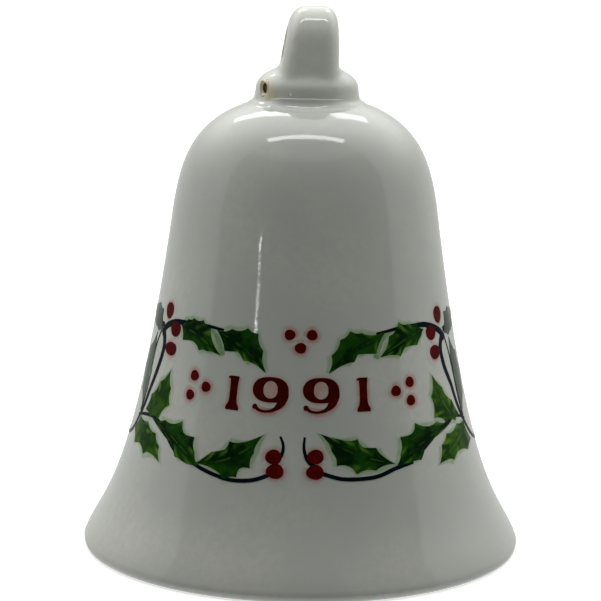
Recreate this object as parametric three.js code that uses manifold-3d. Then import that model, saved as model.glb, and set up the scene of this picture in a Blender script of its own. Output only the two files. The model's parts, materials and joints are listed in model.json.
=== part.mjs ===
// A small hanging bell of glazed porcelain with a clapper inside, standing on its mouth.
//
// The frame is in millimetres with +Z up. The origin is the middle of the mouth, on the plane that the rim
// stands on, and the decorated front of the bell faces -Y.
//
// The body is slip-cast with an open crown. The crown loop, a hollow collar with a pierced lug on top, is
// luted over that opening. A pin through the collar carries a wire ring, the ring carries the clapper wire,
// and the wire carries a drilled bead that strikes the wall.

import * as THREE from "three";
import { mergeVertices } from "three/addons/utils/BufferGeometryUtils.js";
import Module from "manifold-3d";

const wasm = await Module();
wasm.setup();

// ---------------------------------------------------------------- driving dimensions

const MOUTH_RADIUS = 30.6;
const CROWN_RADIUS = 8.0; // where the shoulder meets the collar
const CROWN_HEIGHT = 62.2; // the flat land that the crown loop is luted to
const TOTAL_HEIGHT = 75.5;
const WALL = 2.4; // slip-cast wall, before the rim is rounded

// Body: the waist runs from the lip up to the shoulder, which closes to the crown.
const LIP_HEIGHT = 1.2;
const LIP_ROUNDING = 0.9;
const WAIST_TOP = { radius: 18.2, height: 48.6 };
const CROWN_OPENING_RADIUS = 4.3;

// Collar and lug of the crown loop.
const COLLAR_HOLLOW_TOP = 66.25;
const LUTING_GAP = 0.02;
const LUG_THICKNESS = 8.9; // along X, at the foot
const LUG_TAPER = 0.022; // share of the thickness lost per millimetre of height
const LUG_FOOT_HEIGHT = 64.8;
const LUG_FOOT_HALF_DEPTH = 6.0; // along Y
const LUG_TOP_RADIUS = 4.9;
const LUG_EDGE_ROUNDING = 2.6;
const LUG_LEAN = THREE.MathUtils.degToRad(4.5); // the lug was luted on a little askew
const EYE_HEIGHT = 70.4;
const EYE_RADIUS = 2.1;
const EYE_EDGE_ROUNDING = 1.1;

// Clapper pin and what seals it.
const PIN_HEIGHT = 64.5;
const PIN_RADIUS = 0.6;
const PIN_HALF_LENGTH = 6.6;
const PIN_TURN = THREE.MathUtils.degToRad(32.5); // of the pin from the X axis
const PIN_HOLE_RADIUS = 1.17;
const CEMENT_GAP = 0.05;
const CEMENT_INNER_END = 5.5;
const CEMENT_OUTER_END = 7.12;

// Hanging clapper: the ring hangs on the pin, the wire's eye hangs on the ring.
const HANGING_GAP = 0.08;
const RING_RADIUS = 1.5;
const RING_WIRE_RADIUS = 0.3;
const CLAPPER_WIRE_RADIUS = 0.35;
const WIRE_EYE_RADIUS = 1.0;
const WIRE_STOP_RADIUS = 0.8;
const BEAD_HEIGHT = 14.0;
const BEAD_RADIUS = 5.6;
const BEAD_BORE_RADIUS = 0.6;

// Facets.
const BODY_SEGMENTS = 48;
const COLLAR_SEGMENTS = 40;
const BEAD_SEGMENTS = 28;
const WIRE_SIDES = 8;

// ---------------------------------------------------------------- materials

const porcelain = new THREE.MeshStandardMaterial({ color: 0xe6e7e0, roughness: 0.12, metalness: 0.0 });
const brass = new THREE.MeshStandardMaterial({ color: 0x8a6f3a, roughness: 0.4, metalness: 1.0 });
const darkBrass = new THREE.MeshStandardMaterial({ color: 0x3b3620, roughness: 0.6, metalness: 0.8 });
const cement = new THREE.MeshStandardMaterial({ color: 0xd9d3b4, roughness: 0.8, metalness: 0.0 });

// ---------------------------------------------------------------- shared tools

/** Revolves a profile of (radius, height) points about the Z axis. */
function turned(points, segments) {
  return new THREE.LatheGeometry(points, segments).rotateX(Math.PI / 2);
}

/** A closed geometry as a solid that can be cut and joined. */
function toSolid(geometry) {
  const bare = geometry.clone();
  bare.deleteAttribute("normal");
  bare.deleteAttribute("uv");
  const merged = mergeVertices(bare, 1e-3);
  return new wasm.Manifold(
    new wasm.Mesh({
      numProp: 3,
      vertProperties: merged.attributes.position.array,
      triVerts: new Uint32Array(merged.index.array),
    }),
  );
}

/** A solid as a geometry again. */
function toGeometry(solid) {
  const mesh = solid.getMesh();
  const geometry = new THREE.BufferGeometry();
  geometry.setAttribute("position", new THREE.BufferAttribute(mesh.vertProperties, 3));
  geometry.setIndex(new THREE.BufferAttribute(mesh.triVerts, 1));
  geometry.computeVertexNormals();
  return geometry;
}

/** A named sub-part. */
function piece(name, geometry, material) {
  const mesh = new THREE.Mesh(geometry, material);
  mesh.name = name;
  return mesh;
}

/** A profile's points moved to its left by a wall's thickness. */
function offsetProfile(points, distance) {
  return points.map((point, i) => {
    const before = points[Math.max(i - 1, 0)];
    const after = points[Math.min(i + 1, points.length - 1)];
    const along = after.clone().sub(before).normalize();
    return new THREE.Vector2(point.x - along.y * distance, point.y + along.x * distance);
  });
}

/** A rod of round section along X, centred on the origin. */
function rod(radius, length, sides) {
  return new THREE.CylinderGeometry(radius, radius, length, sides).rotateZ(Math.PI / 2);
}

// ---------------------------------------------------------------- body

/** The outside of the body, from the lip up to the edge of the crown land. */
function bodyOutside() {
  const waist = new THREE.CubicBezierCurve(
    new THREE.Vector2(MOUTH_RADIUS, LIP_HEIGHT),
    new THREE.Vector2(28.3, 7.2),
    new THREE.Vector2(23.8, 7.2),
    new THREE.Vector2(WAIST_TOP.radius, WAIST_TOP.height),
  );
  const shoulder = new THREE.CubicBezierCurve(
    new THREE.Vector2(WAIST_TOP.radius, WAIST_TOP.height),
    new THREE.Vector2(17.2, 54.2),
    new THREE.Vector2(15.8, 59.6),
    new THREE.Vector2(CROWN_RADIUS, CROWN_HEIGHT),
  );
  return [...waist.getPoints(11), ...shoulder.getPoints(8).slice(1)];
}

/** The open bell body, one closed profile: up the outside, across the crown, down the inside, round the lip. */
function bellShell() {
  const outside = bodyOutside();
  const inside = offsetProfile(outside, WALL).slice(1).reverse();
  const insideTop = inside[0];
  const innerLipRadius = MOUTH_RADIUS - WALL + 0.35;
  const profile = [
    ...outside,
    new THREE.Vector2(CROWN_OPENING_RADIUS, CROWN_HEIGHT),
    new THREE.Vector2(CROWN_OPENING_RADIUS, insideTop.y),
    ...inside,
    new THREE.Vector2(innerLipRadius, LIP_HEIGHT),
    new THREE.Vector2(innerLipRadius + LIP_ROUNDING * 0.3, LIP_HEIGHT * 0.25),
    new THREE.Vector2(innerLipRadius + LIP_ROUNDING * 0.65, 0),
    new THREE.Vector2(MOUTH_RADIUS - LIP_ROUNDING * 0.8, 0),
    new THREE.Vector2(MOUTH_RADIUS - LIP_ROUNDING * 0.25, LIP_HEIGHT * 0.3),
    new THREE.Vector2(MOUTH_RADIUS, LIP_HEIGHT * 0.75),
    new THREE.Vector2(MOUTH_RADIUS, LIP_HEIGHT),
  ];
  return piece("bell_shell", turned(profile, BODY_SEGMENTS), porcelain);
}

// ---------------------------------------------------------------- crown loop

/** The collar as a solid dome, before it is hollowed. */
function collarDome() {
  const foot = CROWN_HEIGHT + LUTING_GAP;
  const dome = new THREE.Path();
  dome.moveTo(0, foot);
  dome.lineTo(CROWN_RADIUS, foot);
  dome.quadraticCurveTo(7.2, foot + 0.5, 7.05, foot + 2.0);
  dome.bezierCurveTo(6.9, foot + 3.5, 5.8, foot + 4.1, 4.4, foot + 4.7);
  dome.lineTo(0, foot + 4.9);
  return turned(dome.getPoints(6), COLLAR_SEGMENTS);
}

/** The hollow that runs on from the crown's opening, up to a rounded roof over the pin. */
function collarHollow() {
  const hollow = new THREE.Path();
  hollow.moveTo(0, CROWN_HEIGHT - 1);
  hollow.lineTo(CROWN_OPENING_RADIUS, CROWN_HEIGHT - 1);
  hollow.lineTo(CROWN_OPENING_RADIUS, PIN_HEIGHT);
  hollow.quadraticCurveTo(CROWN_OPENING_RADIUS, COLLAR_HOLLOW_TOP, 2.2, COLLAR_HOLLOW_TOP);
  hollow.lineTo(0, COLLAR_HOLLOW_TOP);
  return turned(hollow.getPoints(5), COLLAR_SEGMENTS);
}

/** The lug as an arch in the YZ plane with rounded edges, thinner towards its top and leaning towards +X. */
function lugArch() {
  const archFoot = TOTAL_HEIGHT - LUG_TOP_RADIUS;
  const arch = new THREE.Shape();
  arch.moveTo(-LUG_FOOT_HALF_DEPTH, LUG_FOOT_HEIGHT);
  arch.lineTo(LUG_FOOT_HALF_DEPTH, LUG_FOOT_HEIGHT);
  arch.lineTo(LUG_TOP_RADIUS, archFoot);
  arch.absarc(0, archFoot, LUG_TOP_RADIUS, 0, Math.PI, false);
  arch.closePath();
  const lug = new THREE.ExtrudeGeometry(arch, {
    depth: LUG_THICKNESS - 2 * LUG_EDGE_ROUNDING,
    curveSegments: 14,
    bevelEnabled: true,
    bevelThickness: LUG_EDGE_ROUNDING,
    bevelSize: LUG_EDGE_ROUNDING,
    bevelOffset: -LUG_EDGE_ROUNDING,
    bevelSegments: 4,
  });
  lug.translate(0, 0, LUG_EDGE_ROUNDING - LUG_THICKNESS / 2);
  const turnedUp = new THREE.Matrix4().makeBasis(
    new THREE.Vector3(0, 1, 0),
    new THREE.Vector3(0, 0, 1),
    new THREE.Vector3(1, 0, 0),
  );
  lug.applyMatrix4(turnedUp);
  const position = lug.attributes.position;
  for (let i = 0; i < position.count; i++) {
    const above = position.getZ(i) - LUG_FOOT_HEIGHT;
    position.setX(i, position.getX(i) * (1 - LUG_TAPER * above) + above * Math.tan(LUG_LEAN));
  }
  return lug;
}

/** The cutter for the lug's eye, along X, wider at both ends so that the eye's edges are rounded. */
function eyeCutter() {
  const half = LUG_THICKNESS / 2;
  const round = EYE_EDGE_ROUNDING;
  const halfThickness = (LUG_THICKNESS * (1 - LUG_TAPER * (EYE_HEIGHT - LUG_FOOT_HEIGHT))) / 2;
  const flare = new THREE.Path();
  flare.moveTo(0, -half - 1);
  flare.lineTo(EYE_RADIUS + round, -half - 1);
  flare.lineTo(EYE_RADIUS + round, -halfThickness);
  flare.absarc(EYE_RADIUS + round, round - halfThickness, round, 1.5 * Math.PI, Math.PI, true);
  flare.absarc(EYE_RADIUS + round, halfThickness - round, round, Math.PI, 0.5 * Math.PI, true);
  flare.lineTo(EYE_RADIUS + round, half + 1);
  flare.lineTo(0, half + 1);
  const lean = (EYE_HEIGHT - LUG_FOOT_HEIGHT) * Math.tan(LUG_LEAN);
  return new THREE.LatheGeometry(flare.getPoints(4), 28).rotateZ(-Math.PI / 2).translate(lean, 0, EYE_HEIGHT);
}

/** Collar and lug, moulded as one piece, with the pin's holes through both walls of the collar. */
function crownLoop() {
  const pinHole = rod(PIN_HOLE_RADIUS, 4 * CROWN_RADIUS, 16).rotateZ(PIN_TURN).translate(0, 0, PIN_HEIGHT);
  const solid = toSolid(collarDome())
    .add(toSolid(lugArch()))
    .subtract(toSolid(collarHollow()))
    .subtract(toSolid(eyeCutter()))
    .subtract(toSolid(pinHole));
  return piece("crown_loop", toGeometry(solid), porcelain);
}

// ---------------------------------------------------------------- pin and cement

/** The pin across the collar's hollow, its ends a little inside the holes' mouths. */
function clapperPin() {
  const pin = piece("clapper_pin", rod(PIN_RADIUS, 2 * PIN_HALF_LENGTH, 12), darkBrass);
  pin.position.set(0, 0, PIN_HEIGHT);
  pin.rotation.z = PIN_TURN;
  return pin;
}

/** A dab of cement round one end of the pin, domed where it stands proud of the collar. */
function pinCement(name, end) {
  const inner = PIN_RADIUS + CEMENT_GAP;
  const outer = PIN_HOLE_RADIUS - CEMENT_GAP;
  const middle = (inner + outer) / 2;
  const dab = [
    new THREE.Vector2(inner, CEMENT_INNER_END),
    new THREE.Vector2(outer, CEMENT_INNER_END),
    new THREE.Vector2(outer, CEMENT_OUTER_END - 0.16),
    new THREE.Vector2(middle + 0.1, CEMENT_OUTER_END),
    new THREE.Vector2(middle - 0.1, CEMENT_OUTER_END - 0.03),
    new THREE.Vector2(inner, CEMENT_OUTER_END - 0.22),
    new THREE.Vector2(inner, CEMENT_INNER_END),
  ];
  const geometry = new THREE.LatheGeometry(dab, 16).rotateZ(-Math.PI / 2);
  const seal = piece(name, geometry, cement);
  seal.position.set(0, 0, PIN_HEIGHT);
  seal.rotation.z = PIN_TURN + (end < 0 ? Math.PI : 0);
  return seal;
}

// ---------------------------------------------------------------- clapper

const ringCentre = PIN_HEIGHT + PIN_RADIUS + HANGING_GAP - (RING_RADIUS - RING_WIRE_RADIUS);
const ringBottom = ringCentre - RING_RADIUS; // middle of the ring's wire at its lowest point
const wireEyeCentre = ringBottom + RING_WIRE_RADIUS + HANGING_GAP - (WIRE_EYE_RADIUS - CLAPPER_WIRE_RADIUS);

/** The wire ring on the pin, in the plane square to the pin. */
function clapperRing() {
  const geometry = new THREE.TorusGeometry(RING_RADIUS, RING_WIRE_RADIUS, WIRE_SIDES, 24).rotateY(Math.PI / 2);
  const ring = piece("clapper_ring", geometry, brass);
  ring.position.set(0, 0, ringCentre);
  ring.rotation.z = PIN_TURN;
  return ring;
}

/** The clapper wire: an eye on the ring, a straight shank, and a turned stop under the bead. */
function clapperWire() {
  const beadFoot = BEAD_HEIGHT - Math.sqrt(BEAD_RADIUS ** 2 - (2 * BEAD_BORE_RADIUS) ** 2);
  const stopCentre = beadFoot - HANGING_GAP - WIRE_STOP_RADIUS - CLAPPER_WIRE_RADIUS;
  const shankTop = wireEyeCentre - WIRE_EYE_RADIUS;
  const shankFoot = stopCentre + WIRE_STOP_RADIUS;
  const eye = new THREE.TorusGeometry(WIRE_EYE_RADIUS, CLAPPER_WIRE_RADIUS, WIRE_SIDES, 20);
  eye.rotateX(Math.PI / 2).translate(0, 0, wireEyeCentre);
  const stop = new THREE.TorusGeometry(WIRE_STOP_RADIUS, CLAPPER_WIRE_RADIUS, WIRE_SIDES, 16);
  stop.rotateX(Math.PI / 2).translate(0, 0, stopCentre);
  const shank = new THREE.CylinderGeometry(
    CLAPPER_WIRE_RADIUS,
    CLAPPER_WIRE_RADIUS,
    shankTop - shankFoot,
    WIRE_SIDES,
  );
  shank.rotateX(Math.PI / 2).translate(0, 0, (shankTop + shankFoot) / 2);
  const wire = piece("clapper_wire", toGeometry(toSolid(eye).add(toSolid(shank)).add(toSolid(stop))), brass);
  wire.rotation.z = PIN_TURN;
  return wire;
}

/** The drilled porcelain bead, flattened a little round both ends of its bore. */
function clapperBead() {
  const flatRadius = 2 * BEAD_BORE_RADIUS;
  const endAngle = Math.acos(flatRadius / BEAD_RADIUS);
  const flatHeight = BEAD_RADIUS * Math.sin(endAngle);
  const outline = new THREE.Path();
  outline.moveTo(BEAD_BORE_RADIUS, flatHeight);
  outline.lineTo(BEAD_BORE_RADIUS, -flatHeight);
  outline.absarc(0, 0, BEAD_RADIUS, -endAngle, endAngle, false);
  outline.lineTo(BEAD_BORE_RADIUS, flatHeight);
  const bead = piece("clapper_bead", turned(outline.getPoints(14), BEAD_SEGMENTS), porcelain);
  bead.position.set(0, 0, BEAD_HEIGHT);
  return bead;
}

// ---------------------------------------------------------------- assembly

const bell = new THREE.Group();
bell.add(
  bellShell(),
  crownLoop(),
  clapperPin(),
  pinCement("pin_cement_front", -1),
  pinCement("pin_cement_back", 1),
  clapperRing(),
  clapperWire(),
  clapperBead(),
);

export default bell;
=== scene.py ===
"""Looks of a small hanging bell of glazed porcelain, with a holly wreath fired round its waist.

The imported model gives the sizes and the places. Each part of the bell has a class that models its pieces and
dresses them. Pieces are modelled in millimetres and brought to the frame's metres when they are finished.
"""

import json
import logging
import math
from collections.abc import Callable, Sequence
from dataclasses import dataclass
from enum import Enum
from typing import Any

import bpy
import numpy as np
from mathutils import Matrix, Vector


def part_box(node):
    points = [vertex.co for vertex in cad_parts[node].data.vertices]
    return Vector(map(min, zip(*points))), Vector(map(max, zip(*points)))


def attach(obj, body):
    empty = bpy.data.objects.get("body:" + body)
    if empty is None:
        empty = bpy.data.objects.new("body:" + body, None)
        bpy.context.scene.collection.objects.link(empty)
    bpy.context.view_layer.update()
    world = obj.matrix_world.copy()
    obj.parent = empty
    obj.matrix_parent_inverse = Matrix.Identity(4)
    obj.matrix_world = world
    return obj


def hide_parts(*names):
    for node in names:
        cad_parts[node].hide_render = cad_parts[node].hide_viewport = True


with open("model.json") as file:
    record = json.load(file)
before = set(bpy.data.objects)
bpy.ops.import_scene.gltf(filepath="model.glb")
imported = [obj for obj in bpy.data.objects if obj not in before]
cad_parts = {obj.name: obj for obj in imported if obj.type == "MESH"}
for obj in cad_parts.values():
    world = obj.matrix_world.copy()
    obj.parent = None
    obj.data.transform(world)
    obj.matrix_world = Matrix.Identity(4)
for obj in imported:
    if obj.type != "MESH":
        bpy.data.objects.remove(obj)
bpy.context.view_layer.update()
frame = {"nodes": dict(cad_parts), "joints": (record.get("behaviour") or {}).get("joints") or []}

LOG = logging.getLogger("porcelain_bell")
MM = 0.001  # one millimetre in the frame's metres
MERGE = 0.0005  # points closer than this, in millimetres, become one
FULL_TURN = 2 * math.pi

Point = tuple[float, float]
Point3 = tuple[float, float, float]
Colour = tuple[float, float, float, float]


# ---------------------------------------------------------------- small tools


def paint(red: int, green: int, blue: int) -> Colour:
    """Turn a colour as it is seen on a screen into the linear colour that a shader takes.

    Args:
        red: Screen red, 0 to 255.
        green: Screen green, 0 to 255.
        blue: Screen blue, 0 to 255.

    Returns:
        The linear colour with full opacity.
    """
    channels = [value / 255 for value in (red, green, blue)]
    linear = [c / 12.92 if c <= 0.04045 else ((c + 0.055) / 1.055) ** 2.4 for c in channels]
    return (linear[0], linear[1], linear[2], 1.0)


def cubic(start: Point, pull_out: Point, pull_in: Point, end: Point, count: int) -> list[Point]:
    """Sample a cubic curve.

    Args:
        start: First point.
        pull_out: Handle of the first point.
        pull_in: Handle of the last point.
        end: Last point.
        count: Number of stretches.

    Returns:
        count + 1 points, both ends included.
    """
    handles = np.array([start, pull_out, pull_in, end], float)
    points = []
    for t in np.linspace(0.0, 1.0, count + 1):
        weights = np.array([(1 - t) ** 3, 3 * t * (1 - t) ** 2, 3 * t * t * (1 - t), t**3])
        points.append(tuple(float(c) for c in weights @ handles))
    return points


def smooth_path(knots: Sequence[Point], per_span: int) -> np.ndarray:
    """Run a smooth line through given knots.

    Args:
        knots: The points that the line passes through.
        per_span: Stretches between one knot and the next.

    Returns:
        The points of the line, one row each.
    """
    knot = np.array(knots, float)
    last = len(knot) - 1
    line = []
    for i in range(last):
        a, b, c, d = knot[max(i - 1, 0)], knot[i], knot[i + 1], knot[min(i + 2, last)]
        for t in np.arange(per_span) / per_span:
            bend = (2 * a - 5 * b + 4 * c - d) * t * t + (3 * b - a - 3 * c + d) * t**3
            line.append(0.5 * (2 * b + (c - a) * t + bend))
    line.append(knot[-1])
    return np.array(line)


def along(line: np.ndarray, share: float) -> np.ndarray:
    """Find the point at a share of a line's length.

    Args:
        line: The points of the line, one row each.
        share: 0 at the start and 1 at the end.

    Returns:
        The point.
    """
    lengths = np.concatenate([[0.0], np.cumsum(np.linalg.norm(np.diff(line, axis=0), axis=1))])
    where = share * lengths[-1]
    return np.array([np.interp(where, lengths, line[:, axis]) for axis in range(line.shape[1])])


# ---------------------------------------------------------------- modelling by hand


def deselect() -> None:
    """Leave edit mode with nothing selected."""
    if bpy.context.mode != "OBJECT":
        bpy.ops.object.mode_set(mode="OBJECT")
    bpy.ops.object.select_all(action="DESELECT")


def activate(piece: bpy.types.Object) -> None:
    """Make one piece the only selected and the active one."""
    deselect()
    piece.select_set(True)
    bpy.context.view_layer.objects.active = piece


def fresh(name: str) -> bpy.types.Object:
    """Name the primitive that was just added, and hand it over."""
    piece = bpy.context.object
    piece.name = name
    piece.data.name = name
    return piece


def pick_edges(piece: bpy.types.Object, rule: Callable[[Vector, Vector], bool]) -> None:
    """Enter edit mode on a piece with only the edges selected that pass a rule.

    Args:
        piece: The piece.
        rule: Says yes or no to an edge from its two ends.
    """
    activate(piece)
    bpy.ops.object.mode_set(mode="EDIT")
    bpy.ops.mesh.select_mode(type="EDGE")
    bpy.ops.mesh.select_all(action="DESELECT")
    bpy.ops.object.mode_set(mode="OBJECT")
    for edge in piece.data.edges:
        start, end = (piece.data.vertices[i].co for i in edge.vertices)
        edge.select = rule(start, end)
    bpy.ops.object.mode_set(mode="EDIT")


def tidy_surface() -> None:
    """Merge doubles and turn the faces outwards, in edit mode, on all of the active piece."""
    bpy.ops.mesh.select_all(action="SELECT")
    bpy.ops.mesh.remove_doubles(threshold=MERGE)
    bpy.ops.mesh.normals_make_consistent(inside=False)


def turned(name: str, profile: Sequence[Point], steps: int) -> bpy.types.Object:
    """Turn a piece on the Z axis, as on a jigger.

    Args:
        name: Name of the piece.
        profile: Points of (radius, height), closed on itself or with both ends on the axis.
        steps: Facets round the piece.

    Returns:
        The turned piece, in millimetres.
    """
    deselect()
    bpy.ops.mesh.primitive_plane_add(size=1.0, location=(0, 0, 0))
    piece = fresh(name)
    bpy.ops.object.mode_set(mode="EDIT")
    bpy.ops.mesh.select_mode(type="VERT")
    bpy.ops.mesh.select_all(action="SELECT")
    bpy.ops.mesh.merge(type="CENTER")
    bpy.ops.transform.translate(value=(profile[0][0], 0, profile[0][1]))
    for (r0, z0), (r1, z1) in zip(profile, profile[1:]):
        bpy.ops.mesh.extrude_region_move(TRANSFORM_OT_translate={"value": (r1 - r0, 0, z1 - z0)})
    bpy.ops.mesh.select_all(action="SELECT")
    bpy.ops.mesh.spin(steps=steps, angle=FULL_TURN, center=(0, 0, 0), axis=(0, 0, 1))
    tidy_surface()
    bpy.ops.object.mode_set(mode="OBJECT")
    if len(piece.data.polygons) < steps:
        raise ValueError(f"{name} has collapsed")
    return piece


def modify(piece: bpy.types.Object, kind: str, **settings: Any) -> None:
    """Add a modifier to a piece and apply it.

    Args:
        piece: The piece.
        kind: The modifier's type, such as BEVEL.
        **settings: The modifier's values.
    """
    activate(piece)
    modifier = piece.modifiers.new(kind.title(), kind)
    for key, value in settings.items():
        setattr(modifier, key, value)
    bpy.ops.object.modifier_apply(modifier=modifier.name)


def carve(piece: bpy.types.Object, tool: bpy.types.Object, operation: str = "DIFFERENCE") -> None:
    """Cut a piece with a tool, or join them, and remove the tool."""
    modify(piece, "BOOLEAN", operation=operation, object=tool, solver="EXACT")
    bpy.data.objects.remove(tool)


def move_points(piece: bpy.types.Object, move: Callable[[Vector], Vector]) -> None:
    """Send each point of a piece to the place that a rule gives it."""
    for vertex in piece.data.vertices:
        vertex.co = move(vertex.co.copy())
    piece.data.update()


def joined(name: str, parts: Sequence[bpy.types.Object]) -> bpy.types.Object:
    """Join several meshes into one piece.

    Args:
        name: Name of the joined piece.
        parts: The meshes, of which the first one stays.

    Returns:
        The joined piece.
    """
    activate(parts[0])
    for part in parts[1:]:
        part.select_set(True)
    if len(parts) > 1:
        bpy.ops.object.join()
    return fresh(name)


def finish_piece(
    piece: bpy.types.Object, body: str, smooth_angle: float = 35.0
) -> bpy.types.Object:
    """Bring a piece from millimetres to the frame's metres and hang it on its body.

    Args:
        piece: The modelled and dressed piece.
        body: The frame's body that it rides on.
        smooth_angle: Edges sharper than this many degrees stay crisp.

    Returns:
        The same piece, finished.
    """
    activate(piece)
    bpy.ops.object.transform_apply(location=True, rotation=True, scale=True)
    piece.scale = (MM, MM, MM)
    bpy.ops.object.transform_apply(location=False, rotation=False, scale=True)
    bpy.ops.object.shade_smooth_by_angle(angle=math.radians(smooth_angle))
    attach(piece, body)
    LOG.info("%s: %d faces, rides on %s", piece.name, len(piece.data.polygons), body)
    deselect()
    return piece


# ---------------------------------------------------------------- finishes


class Nodes:
    """A material under construction: adds shader nodes and links them."""

    def __init__(self, name: str) -> None:
        """Start a material with one glossy surface shader."""
        self.material = bpy.data.materials.new(name)
        self.material.use_nodes = True
        self.tree = self.material.node_tree
        self.surface = self.tree.nodes["Principled BSDF"]
        self.place = self.tree.nodes.new("ShaderNodeTexCoord")

    def add(self, kind: str, inputs: dict[Any, Any] | None = None, **settings: Any) -> bpy.types.Node:
        """Add a node.

        Args:
            kind: The node's type without its ShaderNode prefix.
            inputs: Values or output sockets for its inputs, by name or number.
            **settings: The node's own properties.

        Returns:
            The new node.
        """
        node = self.tree.nodes.new("ShaderNode" + kind)
        for key, value in settings.items():
            setattr(node, key, value)
        for key, value in (inputs or {}).items():
            if isinstance(value, bpy.types.NodeSocket):
                self.tree.links.new(value, node.inputs[key])
            else:
                node.inputs[key].default_value = value
        return node

    def shine(self, **values: Any) -> None:
        """Set constants on the surface shader, with underscores for spaces in the socket names."""
        for key, value in values.items():
            self.surface.inputs[key.replace("_", " ")].default_value = value

    def feed(self, socket: str, source: bpy.types.NodeSocket) -> None:
        """Link a pattern to one of the surface shader's inputs."""
        self.tree.links.new(source, self.surface.inputs[socket])

    def noise(self, scale: float, detail: float = 3.0, roughness: float = 0.5) -> bpy.types.NodeSocket:
        """Add soft noise over the piece's own coordinates, with scale in features per metre."""
        values = {"Vector": self.place.outputs["Object"], "Scale": scale, "Detail": detail}
        return self.add("TexNoise", {**values, "Roughness": roughness}).outputs["Fac"]

    def math(self, operation: str, *values: Any) -> bpy.types.NodeSocket:
        """Add a calculation on one, two or three numbers."""
        return self.add("Math", dict(enumerate(values)), operation=operation).outputs[0]

    def fade(
        self, value: bpy.types.NodeSocket, low: float, high: float, to: Point = (0.0, 1.0)
    ) -> bpy.types.NodeSocket:
        """Map a stretch of values onto another one with soft ends."""
        inputs = {"Value": value, "From Min": low, "From Max": high, "To Min": to[0], "To Max": to[1]}
        return self.add("MapRange", inputs, interpolation_type="SMOOTHSTEP").outputs["Result"]

    def mix(self, share: Any, first: Any, second: Any) -> bpy.types.NodeSocket:
        """Mix two colours by a share from 0 to 1."""
        inputs = {0: share, 6: first, 7: second}
        return self.add("Mix", inputs, data_type="RGBA", blend_type="MIX").outputs[2]

    def rough(self, smooth: float, rough: float) -> None:
        """Let the surface's roughness wander slowly between two values."""
        self.feed("Roughness", self.fade(self.noise(240, 4), 0.3, 0.7, (smooth, rough)))

    def from_middle(self, value: bpy.types.NodeSocket) -> bpy.types.NodeSocket:
        """Fold a share so that its middle gives 0 and both its ends give 1."""
        return self.math("MULTIPLY", self.math("ABSOLUTE", self.math("SUBTRACT", value, 0.5)), 2.0)

    def relief(self, height: bpy.types.NodeSocket, depth: float) -> None:
        """Give the surface a fine relief, with depth in metres."""
        inputs = {"Height": height, "Distance": depth, "Strength": 1.0}
        self.feed("Normal", self.add("Bump", inputs).outputs["Normal"])


@dataclass(frozen=True)
class PorcelainGlaze:
    """Clear glossy glaze over a white body, a little uneven as a dipped glaze is."""

    body: Colour = paint(204, 206, 197)
    pooled: Colour = paint(193, 197, 189)
    speck: Colour = paint(150, 142, 124)
    roughness: float = 0.05

    def colour(self, nodes: Nodes) -> bpy.types.NodeSocket:
        """Cloud the glaze where it pooled, and speck it with pinholes."""
        cloud = nodes.fade(nodes.noise(60, 3), 0.35, 0.65)
        grain = nodes.fade(nodes.noise(950, 4, 0.7), 0.3, 0.7, (0.0, 0.8))
        pits = nodes.fade(nodes.noise(2600, 1), 0.79, 0.83, (0.0, 0.55))
        clay = nodes.mix(grain, nodes.mix(cloud, self.body, self.pooled), self.pooled)
        return nodes.mix(pits, clay, self.speck)

    def gloss(self, nodes: Nodes) -> None:
        """Give the surface its gloss and its slow swell."""
        nodes.rough(self.roughness, 1.7 * self.roughness)
        swell = nodes.math("ADD", nodes.noise(230, 2), nodes.math("MULTIPLY", nodes.noise(1100, 2), 0.12))
        nodes.relief(swell, 0.000026)
        nodes.shine(IOR=1.5, Subsurface_Weight=0.05, Subsurface_Scale=0.001)

    def make(self, name: str) -> bpy.types.Material:
        """Build the material."""
        nodes = Nodes(name)
        nodes.feed("Base Color", self.colour(nodes))
        self.gloss(nodes)
        return nodes.material


@dataclass(frozen=True)
class StainedGlaze:
    """The glaze with a stain that spread from a bore, cream at its mouth and tan further down."""

    mouth: Vector
    run: Vector
    cream: Colour = paint(240, 235, 206)
    tan: Colour = paint(206, 190, 146)
    # Painted light: the collar and lug take a lighter copy of the body's glaze, so that they look more
    # brightly lit than the lamps make them.
    glaze: PorcelainGlaze = PorcelainGlaze(body=paint(221, 223, 213), pooled=paint(210, 214, 205))

    def near(self, nodes: Nodes, place: Vector, reach: float) -> bpy.types.NodeSocket:
        """Fade from 1 at a place to 0 beyond a ragged reach, both in millimetres."""
        values = {0: nodes.place.outputs["Object"], 1: tuple(place * MM)}
        away = nodes.add("VectorMath", values, operation="DISTANCE").outputs["Value"]
        ragged = nodes.math("MULTIPLY_ADD", nodes.noise(1500, 3), 0.8 * reach * MM, away)
        return nodes.fade(ragged, 0.75 * reach * MM, 1.5 * reach * MM, (1.0, 0.0))

    def make(self, name: str) -> bpy.types.Material:
        """Build the material."""
        nodes = Nodes(name)
        spread = nodes.math("MULTIPLY", self.near(nodes, self.run, 1.6), 0.65)
        colour = nodes.mix(spread, self.glaze.colour(nodes), self.tan)
        rim = nodes.math("MULTIPLY", self.near(nodes, self.mouth, 1.75), 0.9)
        nodes.feed("Base Color", nodes.mix(rim, colour, self.cream))
        self.glaze.gloss(nodes)
        return nodes.material


class BleedShape(Enum):
    """Where a colour's bleed fades out on the piece's own map."""

    SPOT = "away from the middle"
    STROKE = "away from the middle line"
    LEAF = "away from the middle line and towards both ends"


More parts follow.
